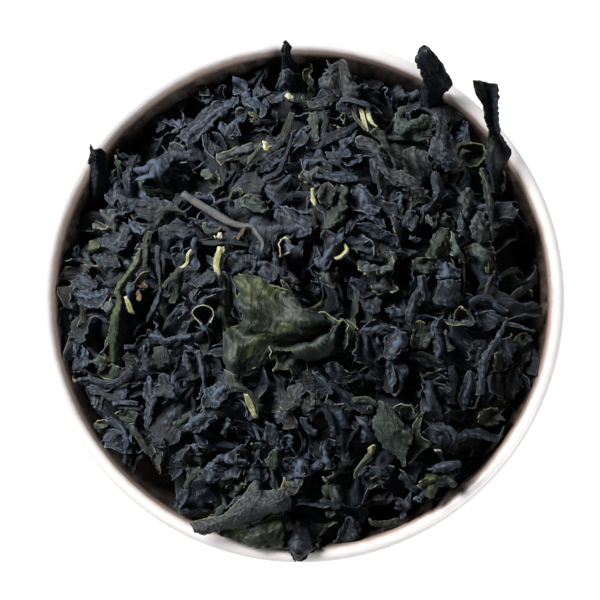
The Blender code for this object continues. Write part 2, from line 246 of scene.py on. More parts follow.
def relax(points, flat, longer, wider, pinch):
    """Lets the sheets, which are too big for their outline, find their crinkles.

    Neighbours keep their distance on the flat sheet, grown by the extra shares
    along and across it, and points two apart push each other open. The pinch
    gathers each row towards its middle, which pleats it.
    """
    groups = []

    def link(rows, columns, next_rows, next_columns, growth, stiffness, opens=False):
        first, second = (slice(None), rows, columns), (slice(None), next_rows, next_columns)
        base = np.linalg.norm(flat[second] - flat[first], axis=-1)
        extra = base * (growth[first] + growth[second]) / 2
        groups.append((points[first], points[second], base, extra, stiffness, opens))

    whole, low, high = slice(None), slice(None, -1), slice(1, None)
    both = (longer + wider) / 2
    for i in (0, 1):
        here, there = slice(i, -1, 2), slice(i + 1, None, 2)
        link(here, whole, there, whole, longer, 1.0)
        link(whole, here, whole, there, wider, 1.0)
        link(here, low, there, high, both, 0.4)
        link(here, high, there, low, both, 0.4)
    for i in range(4):
        here, there = slice(i, -2, 4), slice(i + 2, None, 4)
        link(here, whole, there, whole, longer, STIFFNESS, opens=True)
        link(whole, here, whole, there, wider, STIFFNESS, opens=True)

    before = points.copy()
    for step in range(GROWING_STEPS):
        share = min(1.0, step / (GROWN_AT * GROWING_STEPS))
        motion = (points - before) * DRIFT
        before[...] = points
        points += motion
        for first, second, base, extra, stiffness, opens in groups:
            gap = second - first
            span = np.sqrt(np.einsum("...i,...i->...", gap, gap)) + 1e-9
            pull = (1 - (base + extra * share) / span) * (stiffness / 2)
            if opens:
                np.minimum(pull, 0, out=pull)
            gap *= pull[..., None]
            first += gap
            second -= gap
        points += (points.mean(axis=2, keepdims=True) - points) * (pinch * share)
    return points


def lie_flat(sheet):
    """The sheet about its middle, turned so that its thinnest way is up."""
    points = sheet.reshape(-1, 3) - sheet.reshape(-1, 3).mean(axis=0)
    _, _, axes = np.linalg.svd(points, full_matrices=False)
    if np.linalg.det(axes) < 0:
        axes[2] *= -1
    return (points @ axes.T).reshape(sheet.shape)


@functools.cache
def crinkled_sheets():
    """Differently folded and ruffled sheets, some 14 mm long, for the heap to use."""
    rng = np.random.default_rng(SHEET_SEED)
    u = spread_across(COLUMNS)[None, :]
    v = np.linspace(0, 1, ROWS)[:, None]
    flats, starts, longers, widers, pinches = [], [], [], [], []
    for kind in range(SHEET_KINDS):
        strap = kind % 6 == 5
        length = rng.uniform(17, 22) * MM if strap else rng.uniform(13, 18) * MM
        width = rng.uniform(5, 7) * MM if strap else rng.uniform(10, 14) * MM
        flat = flat_sheet(rng, length, width)
        start = fold_sheet(rng, flat, 2.0, 0.7, rng.normal(0, 1.0 if strap else 0.35))
        pleats = np.sin(TAU * (rng.uniform(1.0, 2.4) * u + 0.35 * np.sin(3 * v + kind)))
        start[..., 2] += 0.35 * MM * pleats * np.sin(np.pi * (0.1 + 0.8 * v))
        start[..., 2] += 0.12 * MM * rng.normal(size=start.shape[:2])
        ruffle = rng.uniform(0.15, 0.5)
        pleat = rng.uniform(0.03, 0.18)
        gathered = np.exp(-((v / rng.uniform(0.2, 0.5)) ** 2)) * rng.uniform(0.0, 0.005)
        waves = 0.5 + 0.5 * np.sin(TAU * (rng.uniform(0.6, 1.6) * v + rng.random()) + 2 * u)
        flats.append(flat)
        starts.append(start)
        longers.append(ruffle * np.abs(u) ** 3 * (0.3 + waves) + 0.03 + 0 * v)
        widers.append(pleat * waves + 0 * u)
        pinches.append(gathered[..., None])
    grown = relax(*map(np.array, (starts, flats, longers, widers, pinches)))
    return [(lie_flat(sheet), flat) for sheet, flat in zip(grown, flats)]


# ---- the leaves that stand out, by their places ------------------------------------------

VIEW_LEAN = math.radians(5.5)  # of the camera, from straight above
VIEW_WAY = -math.pi / 4
VIEW_DISTANCE = 330.0 * MM
VIEW_STEPS = 600  # across the view and down it
VIEW_WIDTH = 136.36 * MM  # what it spans at the lip
VIEW_BACK = np.array([
    math.sin(VIEW_LEAN) * math.cos(VIEW_WAY),
    math.sin(VIEW_LEAN) * math.sin(VIEW_WAY),
    math.cos(VIEW_LEAN),
])
VIEW_TARGET = np.array([0.3 * MM, -0.7 * MM, RIM])
EYE = VIEW_TARGET + VIEW_DISTANCE * VIEW_BACK
VIEW_RIGHT = np.cross(-VIEW_BACK, (0, 1, 0))
VIEW_RIGHT /= np.linalg.norm(VIEW_RIGHT)
VIEW_UP = np.cross(VIEW_BACK, VIEW_RIGHT)

# Places in the view are noted in steps, across from its left and down from its top.
# Each closer look has its left, its top and how many of its own steps make one.
LOOKS = {
    "middle": (200, 260, 9.8),
    "back_right_rim": (400, 30, 13.067),
    "right_strip": (430, 120, 9.8),
    "front_rim": (180, 470, 10.453),
    "back": (260, 30, 11.2),
    "back_left": (80, 130, 13.067),
    "left": (80, 230, 10.45),
    "left_of_middle": (170, 180, 9.8),
    "back_right": (350, 100, 13.067),
    "front_right": (355, 390, 13.067),
    "right": (430, 280, 13.067),
}

# Each leaf has its piece, its finish, the look it is noted in and its points, row by
# row along it: across, down, and the height above the rim in millimetres.
LEAVES = [
    ("centre_leaf", "olive", "middle", """
345,118,12.5 520,150,13.5 700,222,14 860,290,14 1010,385,13.5 1205,512,12.5
305,220,12.5 490,300,14.5 680,370,15 860,430,15 1040,510,14.5 1225,560,11.5
380,430,13 530,470,15 690,530,15.8 860,590,15.8 1060,610,14.8 1240,620,11
405,590,12.8 520,640,14.6 650,700,15.6 820,720,15.2 1000,710,14 1180,690,11.2
222,668,11 400,760,12.5 560,790,14.2 720,820,13.6 880,810,12 1080,750,11
198,880,11 330,900,13 470,950,12.2 620,960,12 760,900,11 950,840,10.8
225,1110,10.5 300,1100,12.2 400,1130,10.8 500,1120,10.5 600,1080,10 700,1020,9.5"""),
    ("centre_leaf", "olive", "middle", """
690,860,10.5 820,840,10.5 950,800,10.5 1080,760,10.5 1190,690,10.5 1250,620,10.5 1290,520,11
682,905,13 800,885,14 940,865,14.8 1080,835,15.2 1210,765,15.4 1300,680,15.2 1340,560,14.4
700,945,12.4 830,955,12.8 970,920,13 1110,900,12.6 1260,870,13.2 1370,770,13.6 1400,540,14.2
735,1000,11 880,1052,10.8 1000,950,11.2 1130,925,11.5 1260,938,12 1440,885,12.6 1478,640,13.6"""),
    ("centre_leaf", "olive", "middle", """
215,1050,11.3 330,1120,11.8 420,1180,10.6
280,1215,11.2 370,1230,12 440,1260,11
400,1290,11 470,1290,12 530,1320,11.2
455,1330,10.6 530,1390,11.6 600,1400,11
520,1430,10.2 565,1460,11 608,1470,10.6
545,1555,9.6 562,1545,10 580,1530,9.8"""),
    ("centre_leaf", "olive", "middle", """
785,195,14.6 800,192,14.6
805,250,14.2 862,240,14.2
830,310,14 925,355,13.6"""),
    ("tan_edge", "cream", "middle", """
428,1305,11 470,1312,11.5
450,1400,10.5 515,1400,11.3
500,1500,10 548,1490,10.7
530,1550,9.5 550,1553,9.8"""),
    ("upright_strip", "tip", "back_right_rim", """
940,640,14 1050,660,13 1190,688,12.5 1300,700,14
985,840,12 1090,850,11 1190,850,10 1300,860,12
1060,980,10.5 1130,980,9.5 1200,980,8.5 1285,1000,10.5
1095,1160,9 1150,1160,8.3 1215,1160,7.2 1288,1140,9
1150,1330,7.5 1190,1330,7 1240,1330,6 1318,1340,7.5
1128,1510,5.5 1220,1500,6.5 1320,1470,4.2 1430,1530,4.5
1125,1680,3 1220,1720,5 1330,1720,2.5 1458,1645,2.5
1165,1900,-1 1220,1900,1.5 1280,1910,-0.5 1335,1900,-1
1225,2100,-5 1240,2120,-4 1255,2120,-4.2 1265,2100,-5"""),
    ("upright_flap", "tip", "back_right_rim", """
285,195,13 325,198,12.5 362,208,12.8
232,270,11.5 330,300,12.8 450,305,12
200,420,10 340,430,11 530,400,10.5
250,540,8 380,550,9 625,550,8
285,640,5.5 400,680,6.5 700,735,4.5
260,820,0 400,840,2 590,830,-0.5
240,1000,-6 390,1010,-4 560,1000,-7"""),
    ("top_spike", "tip", "back", """
278,114,8 286,110,8.2 294,118,8
240,195,6 300,180,6.8 355,190,6
238,300,3 300,280,4.5 350,300,3
245,400,-1 330,380,0.5 420,390,-1
235,560,-6 340,560,-4 480,560,-6
260,740,-10 350,740,-9 450,740,-10"""),
    ("spike_leaf", "slate", "back", """
235,435,-2 330,440,-1 445,490,-2
200,550,-1.5 300,550,0.5 415,570,-2.5
195,630,-2.5 290,640,-1 375,640,-3.5
270,700,-4 320,720,-3.5 365,700,-4.5"""),
    ("fibre_fan", "umber", "back", """
720,335,-3 790,395,-2 890,345,-2.5 965,365,-2 1020,470,-3.5
745,450,-2 820,450,-0.5 900,440,-1.5 990,500,-0.5 1085,580,-2.5
700,615,-1 800,600,1 900,600,-0.5 1010,640,1 1125,680,-1
790,680,0 850,740,1.5 930,765,0.5 1030,780,1.5 1165,780,0"""),
    ("fibres", "ash", "back", """
1020,880,1.5 1060,880,2
1050,980,2.5 1090,970,3
1120,1070,3 1150,1050,3.5
1190,1140,3.5 1215,1120,4"""),
    ("fibres", "cream", "back", """
1105,880,1.5 1150,880,2
1130,980,2.5 1180,980,3
1165,1070,3 1200,1060,3.5
1200,1140,3.5 1215,1135,4"""),
    ("fibres", "cream", "back", """
1190,900,1.5 1225,900,2
1195,980,2.5 1250,980,3
1235,1040,3 1275,1040,3.5
1290,1090,3.5 1310,1080,4"""),
    ("fibres", "slate", "back", """
860,900,3 905,915,3
860,830,3.5 900,830,4
920,760,3 930,800,4.5
1060,770,3 1060,815,4.5
1180,800,2.5 1170,850,4
1250,850,2 1230,890,3"""),
    ("left_spike", "tip", "back_left", """
128,165,5 182,245,4.6 285,222,3.8
132,300,3 215,318,3.8 345,300,2.4
95,430,0.5 210,400,1.5 345,380,-0.5
70,620,-3.5 210,600,-0.5 385,640,-3.5
90,850,-7.5 210,850,-4.5 300,900,-7.5
130,1050,-11 200,1050,-9 290,1080,-11"""),
    ("tilted_leaf", "slate", "back_left", """
735,330,-4 755,318,-3.8 770,345,-4
640,470,-2.5 690,460,-1.5 735,470,-2.5
560,600,-1.5 640,600,0.5 725,620,-1.5
560,720,-1.5 640,740,0.5 730,760,-1.5
620,850,-3 680,860,-2 740,880,-3"""),
    ("knob_leaf", "slate", "back_left", """
780,520,1 900,430,2.5 1090,310,4 1200,185,4 1310,290,3
770,570,2.5 920,500,5.5 1090,430,7 1210,370,7 1350,450,3.5
780,620,2.5 930,600,5.5 1080,560,6.5 1210,530,6.5 1385,560,3
850,710,2 950,760,3.5 1060,700,4 1190,650,4 1390,600,2"""),
    ("knob_leaf", "olive", "back_left", """
790,650,0 950,700,1.5 1130,690,1.5 1290,760,0.5
780,740,0.5 940,790,2.5 1130,800,2.5 1290,830,0.5
840,805,-0.5 980,845,0.5 1150,885,0.5 1290,870,0"""),
    ("left_wave", "slate", "back_left", """
1000,1310,6 1120,1240,7.5 1280,1150,8.5
1130,1390,6 1260,1310,8.5 1400,1220,9
1280,1450,6 1380,1400,8.5 1500,1330,8.5
1450,1465,5.5 1500,1420,7 1540,1380,7.5"""),
    ("left_wave", "moss", "back_left", """
960,1280,5.5 1030,1230,6 1090,1180,5
1005,1180,6.5 1080,1150,7.5 1170,1140,6.5
1010,1060,7 1100,1060,8.5 1220,1090,7
1160,990,8 1200,1040,9 1300,1100,8
1330,1040,8.5 1360,1080,9.5 1410,1130,8.5"""),
    ("left_wave", "slate", "back_left", """
540,870,2 600,900,3 640,960,2
650,900,3 680,960,4.5 690,1020,3
760,910,3.5 780,1000,5 760,1120,3.5
880,870,4 900,1000,5.5 880,1160,4.5
1000,880,4.5 1000,1010,6 960,1190,5
1200,930,5 1130,1030,6.5 980,1250,5
1230,980,5 1130,1080,6 900,1290,4"""),
    ("left_leaf", "olive", "left", """
600,200,9 630,190,9.8 655,200,9
562,330,9 605,330,10.2 645,345,9
478,450,8.5 540,440,9.8 600,430,8
385,575,7.5 430,580,9 485,560,7
364,650,6.5 410,650,8.2 455,650,6
392,760,5.5 430,760,7.2 475,760,5
322,915,4.5 400,900,6.5 485,900,3.5
300,1070,3 390,1060,5 490,1050,2.5
258,1190,2 360,1200,3.5 465,1190,1.5
252,1350,0.5 350,1385,2 455,1392,0"""),
    ("left_leaf", "olive", "left", """
722,425,8.5 745,445,8
640,450,9 690,500,8
555,560,8 600,578,7"""),
    ("brown_leaf", "umber", "left", """
770,1220,5 870,1195,6.5 960,1220,5
750,1320,5 870,1310,7 1010,1330,5.5
790,1430,4.5 890,1410,6.5 1005,1405,5.5
830,1465,4 900,1445,5 1000,1420,5"""),
    ("white_bit", "cream", "left", """
455,695,8 490,690,8.2
480,770,7.6 525,760,8.4
510,850,7 560,845,7.6
560,880,6.5 580,870,6.8"""),
    ("wavy_strand", "slate", "left", """
800,160,9 830,170,9.5 850,180,9
790,260,8.5 820,270,9.5 840,270,8.5
800,370,8 830,370,9 850,370,8
810,480,7.5 830,490,8.5 850,500,7.5
830,590,7 845,590,8.2 860,600,7
800,700,6.5 825,710,7.8 850,720,6.5
740,820,6 780,830,7.2 800,840,6
690,940,5 700,950,5.6 715,960,5"""),
    ("teal_fold", "moss", "left", """
850,570,8 920,490,9 1060,360,10
870,620,8 960,520,10 1090,430,10.5
900,640,7.5 1000,580,9 1100,520,9.5
950,680,6.5 1010,680,8 1060,600,8
920,760,6 980,760,7.5 1040,740,7"""),
    ("yellow_curl", "cream", "left", """
1155,200,10.5 1170,205,10.8
1110,260,10.4 1140,275,11
1105,340,10 1140,330,10.6
1060,380,9.6 1100,385,10.2
1030,385,9.2 1045,400,9.6"""),
    ("curled_cup", "cup", "left_of_middle", """
320,1415,11.5 238,1335,12 216,1295,12.4 250,1243,12.6 330,1223,12.8 402,1245,12.6 433,1312,12.2 395,1412,11.6
330,1400,9.5 262,1350,9.5 250,1305,9.5 275,1265,9.5 335,1255,9.5 390,1270,9.5 412,1320,9.5 385,1395,9.5
345,1390,7 290,1350,7 285,1315,7 300,1290,7 340,1280,7 375,1295,7 395,1330,7 375,1380,7"""),
    ("yellow_stem", "cream", "left_of_middle", """
468,650,12 505,656,12.4 540,650,12
440,740,12 485,750,13 528,740,12
424,850,11.5 470,860,12.6 507,840,11.5
445,920,11 488,930,12 512,900,11
482,985,10.5 500,1010,11 522,960,10.5"""),
    ("yellow_stem", "olive", "left_of_middle", """
500,900,10.5 530,930,11 560,960,10
490,1050,10 530,1060,11 582,1060,10
482,1200,9.5 530,1200,10.6 592,1180,9.5
485,1350,9 535,1340,10 602,1320,9
522,1450,8.5 562,1455,9 605,1440,8.5"""),
    ("flat_leaf", "slate", "left_of_middle", """
525,730,10 640,700,11 755,680,10.5
508,830,9.5 640,800,11.6 800,790,10.6
540,940,9 640,900,10.6 810,900,9.6"""),
    ("flat_leaf", "slate", "left_of_middle", """
785,605,11.5 880,590,12.3 990,620,11.5
790,690,11 880,690,12.8 990,700,12
800,745,10.5 890,760,11.8 1000,775,11"""),
    ("black_strand", "ink", "left_of_middle", """
310,600,11 330,640,11.4
440,590,11.6 440,640,12.2
560,575,12 570,620,12.6
660,590,11.8 660,640,12.4
780,640,11.4 770,660,11.8"""),
    ("upper_curl", "slate", "left_of_middle", """
400,260,9.5 440,240,10.2 470,250,9.5
480,200,10 520,190,11 550,230,10
570,170,10.4 590,200,11.2 580,240,10.2
610,200,10.2 615,230,10.8 590,260,10
635,250,9.6 610,300,10.2 570,330,9.2"""),
    ("long_fold", "ash", "back_right", """
65,535,8 95,480,9.5 190,470,9
110,640,7.5 220,590,10 350,560,9
240,700,7.5 330,690,10 440,670,9
330,820,7 410,800,9.5 490,850,8.5
440,960,7 500,950,9 560,890,7
560,1090,7 630,1040,9 690,920,7.5
690,1150,7 740,1100,9 790,1000,7.5
800,1240,6.5 860,1180,8.5 930,1140,7
885,1290,6 950,1260,7.5 1030,1190,6.5"""),
    ("long_fold", "moss", "back_right", """
240,440,8 340,370,9 460,430,8
380,520,8.5 430,480,9.5 500,500,8
430,640,8.5 500,600,9.5 560,640,8.5
600,760,7.5 640,720,8.5 680,760,8
720,880,6.5 750,880,7 780,920,6.5"""),
    ("arched_leaf", "moss", "back_right", """
755,68,6 700,110,6.5 640,150,6
740,170,7 640,240,8.5 530,290,6
830,230,7.5 700,350,9 530,420,6
950,240,7.5 830,370,9 700,465,6.5
1070,245,7.5 980,380,8.5 890,500,6.5
1130,280,7.5 1100,380,8 1080,460,7"""),
    ("arched_leaf", "slate", "back_right", """
1070,200,6.5 1120,150,7 1180,190,6
1110,330,7 1180,330,8 1250,310,5.5
1110,470,7 1200,480,8 1310,450,5.5
1035,600,6.5 1180,620,8.5 1350,600,5.5
1080,730,6.5 1220,740,8 1375,710,5.5
1180,850,6 1290,830,7.5 1425,820,5.5
1230,950,5.5 1300,925,6.5 1400,890,5.5"""),
    ("brown_leaf", "umber", "back_right", """
690,640,4.5 850,600,5.5 1020,690,5
680,760,4.5 860,760,6 1040,820,5
770,920,4 900,900,5.5 1065,950,4.5
860,1060,3.5 920,1030,4.5 1000,1030,4
900,1115,3.5 925,1110,3.8 950,1100,3.6"""),
    ("crescent", "slate", "back_right", """
1070,930,5 1110,930,5.5 1150,950,5
1060,1050,5 1130,1050,6.5 1215,1080,5
1090,1200,5 1150,1210,6.5 1225,1220,4.5
1060,1310,5 1090,1340,6 1150,1340,4.5
970,1400,5 1010,1440,5.8 1060,1470,4.5
890,1400,4.5 910,1450,5 940,1490,4"""),
    ("crescent", "slate", "back_right", """
250,760,7 330,800,7.5 420,880,7
290,960,6 360,960,7.2 450,960,6
310,1080,6 370,1090,6.8 440,1090,6
360,1130,5.8 400,1180,6.5 430,1200,6
380,1270,5.5 400,1270,6 425,1250,5.5"""),
    ("green_loop", "olive", "right_strip", """
260,330,0 285,350,-3.5
270,265,1 300,300,-3.5
340,230,1.5 350,285,-3
450,232,1.5 440,285,-3
530,280,1 520,310,-3
545,350,1 520,350,-2.5
490,415,1 480,395,-2.5
430,462,1 420,430,-2.5
350,450,0.5 355,420,-2.5
285,430,0 310,410,-3"""),
    ("right_fold", "ash", "right_strip", """
340,690,2 390,665,2.8 440,690,1.5
270,780,2.5 350,780,4.5 415,790,2.5
320,870,2.5 370,870,4 400,880,2
330,950,2 350,960,2.8 380,940,1.5"""),
    ("right_fold", "slate", "right_strip", """
290,920,2 310,900,2.5 330,930,2
270,1040,2.5 310,1030,3.8 350,1060,2.5
275,1150,2.5 330,1140,3.3 385,1150,1.5
285,1240,2 330,1200,2.3 385,1190,1"""),
    ("right_fold", "ash", "right_strip", """
440,930,3.8 475,895,4.3 510,920,3.8
400,1000,4.2 470,990,5.5 560,980,4.2
410,1090,3.8 490,1070,5.5 590,1060,3.8
450,1180,3.2 510,1170,4.4 570,1150,3.2
480,1240,2.6 510,1220,3.2 545,1190,2.6"""),
    ("right_fold", "olive", "right_strip", """
475,490,3 500,470,3.5 540,480,3
505,590,3.5 540,580,4.7 570,600,3.5
535,700,3.5 570,690,5 600,720,3.5
550,830,3.5 585,820,5.2 618,850,3.5
575,960,3 600,950,4.7 622,980,3
590,1090,2.5 605,1100,3.7 622,1100,2.5
600,1180,2 607,1190,2.7 618,1190,2"""),
    ("right_fold", "olive", "right_strip", """
340,1255,1 450,1200,2.4 560,1170,2.4
360,1330,1 470,1290,3 640,1250,1.8
440,1390,0.5 530,1370,2.4 655,1370,0.8
500,1470,-0.5 565,1500,0.4 645,1500,-0.6"""),
    ("yellow_tip", "cream", "right_strip", """
545,1370,2.6 575,1370,2.8
540,1440,1.6 580,1440,1.8
545,1498,0.6 575,1500,0.6"""),
    ("green_leaf", "moss", "front_right", """
285,150,7.5 350,145,8.5 430,210,8.5 520,280,8
255,280,7.5 370,300,10 490,330,10 600,370,9
250,420,7 380,440,10 520,470,10.5 670,515,9.5
245,560,6.5 380,600,9 540,600,10 745,540,9.5
320,680,6 420,720,7.5 580,740,8.5 712,720,9
520,840,5.5 560,850,6.5 620,870,7.5 690,850,8.5
610,970,5.5 630,990,6 655,995,6.5 680,980,7"""),
    ("green_leaf", "moss", "front_right", """
870,275,8 885,272,8.2 903,300,8
800,360,8 840,370,8 880,370,8.2
760,480,7.5 800,470,7.5 855,480,8.2
750,570,6.5 790,590,6.5 850,580,8
745,700,6 840,690,6.5 1005,712,7
715,830,6 780,800,6.8 890,785,6.8
690,970,6.2 740,940,6.5 795,885,6.5"""),
    ("green_leaf", "moss", "front_right", """
505,268,8.5 560,205,9 650,185,9.2 750,195,9.2 815,300,8.5
560,290,7 620,270,7 680,270,7 740,290,7 800,340,7.5
600,360,5 640,370,4.5 690,380,4 730,390,4.5 780,380,6"""),
    ("grey_tongue", "slate", "front_right", """
-20,340,6.5 80,350,7.5 180,350,6.5
20,450,6.5 120,450,8.2 220,470,6.8
60,580,6 150,570,7.8 250,560,6
80,680,5 130,690,6.2 200,680,5"""),
    ("tan_bit", "cream", "front_right", """
185,740,5.5 235,712,6.5 272,715,6
170,790,5 215,800,6 255,790,5
170,860,4.5 195,880,5 225,870,4.5"""),
    ("tan_bit", "cream", "front_right", """
1020,775,5.5 1060,770,5.8 1125,790,5.5
1040,790,4.8 1090,800,5 1140,820,4.8"""),
    ("edge_leaf", "olive", "front_right", """
920,1100,2 1060,1080,2.8 1200,1060,2.4 1285,1140,1.5
890,1220,2 1020,1190,4 1140,1180,3.4 1255,1200,1.5
870,1330,1.5 960,1300,3 1060,1290,3 1190,1250,1.5
905,1430,0.8 950,1390,1.6 1000,1350,1.6 1060,1345,1.2"""),
    ("edge_leaf", "slate", "front_right", """
935,1030,3.8 1010,1060,4.4 1020,1090,3.8
1090,960,4.2 1120,1010,5.5 1130,1060,4.2
1290,920,4.2 1290,980,5.5 1240,1030,4.2
1360,930,3.6 1385,990,4.2 1340,1030,3.6"""),
    ("dark_wing", "slate", "front_right", """
890,400,5 960,470,6.4 860,560,5
1060,440,5.4 1070,540,7 1000,660,5.4
1180,440,5.4 1200,560,6.6 1150,690,5
1340,560,4.6 1310,640,5.6 1260,740,4.4"""),
    ("pale_curl", "ash", "right", """
345,430,7.6 400,335,8.6 480,390,8.6 622,550,7
260,530,5.6 350,510,5 480,500,5 590,565,6
150,480,7 230,580,7.8 400,603,8.2 560,595,7.6"""),
    ("thin_fold", "slate", "right", """
985,490,6 1000,478,6.4 1020,500,6
930,640,5 955,630,6.2 978,650,5
850,750,5 880,750,6.2 912,770,5
760,880,4.5 795,880,6.2 850,885,4.5
670,1040,4.5 715,1030,6.2 790,1040,4
640,1150,4 690,1150,5.7 750,1150,4
630,1300,3.5 680,1310,5.2 722,1300,3.5
590,1500,3 650,1500,4.2 712,1480,3"""),
    ("pleated_fan", "slate", "right", """
80,0,8 220,-10,9.5 400,0,8
90,120,7.5 230,110,9.5 395,130,7.5
60,250,7 220,240,9 360,290,7
90,330,6.5 200,350,8 300,400,6"""),
    ("rim_leaf", "ash", "front_rim", """
1115,170,5.5 1150,280,6.5 1162,390,5
1000,195,6 1050,330,8.5 1040,440,5
870,215,6.5 900,360,9 920,490,4.6
795,115,7.5 780,330,8.6 800,550,4.4
660,270,6.6 680,400,7.6 700,585,4
560,370,6 580,480,6.6 590,605,3.6
450,470,5.4 470,540,6 480,600,3.4
330,490,4.8 350,575,5.4 370,660,3.2
200,520,4.2 220,600,4.8 230,680,3
88,545,3.6 110,590,4.2 150,650,3"""),
    ("rim_leaf", "cream", "front_rim", """
1080,75,8.6 1096,75,8.6
1074,130,8 1117,130,8
1052,180,7 1112,185,6.4"""),
    ("rim_under_leaf", "olive", "front_rim", """
1040,450,2.8 1080,600,3 1102,775,1.8
930,480,2.8 950,650,3.4 965,825,1.8
800,560,2.8 800,690,3.8 790,812,1.8
650,590,2.4 650,680,2.8 640,755,1.8
520,600,2.2 500,650,2.6 480,710,1.8
420,630,2.2 400,650,2.2 375,668,2"""),
    ("rim_tip", "tip", "front_rim", """
1110,450,-2 1280,500,0 1490,590,-3
1100,650,-0.5 1290,680,2 1480,740,-2
1040,800,0.9 1240,820,3.2 1450,820,0.9
1150,890,1.3 1240,900,2.7 1370,890,1.3
1205,950,1.3 1235,957,1.6 1275,952,1.3"""),
]

UPPER_ARCH = 0.4  # how much of their noted arch the other upper leaves have

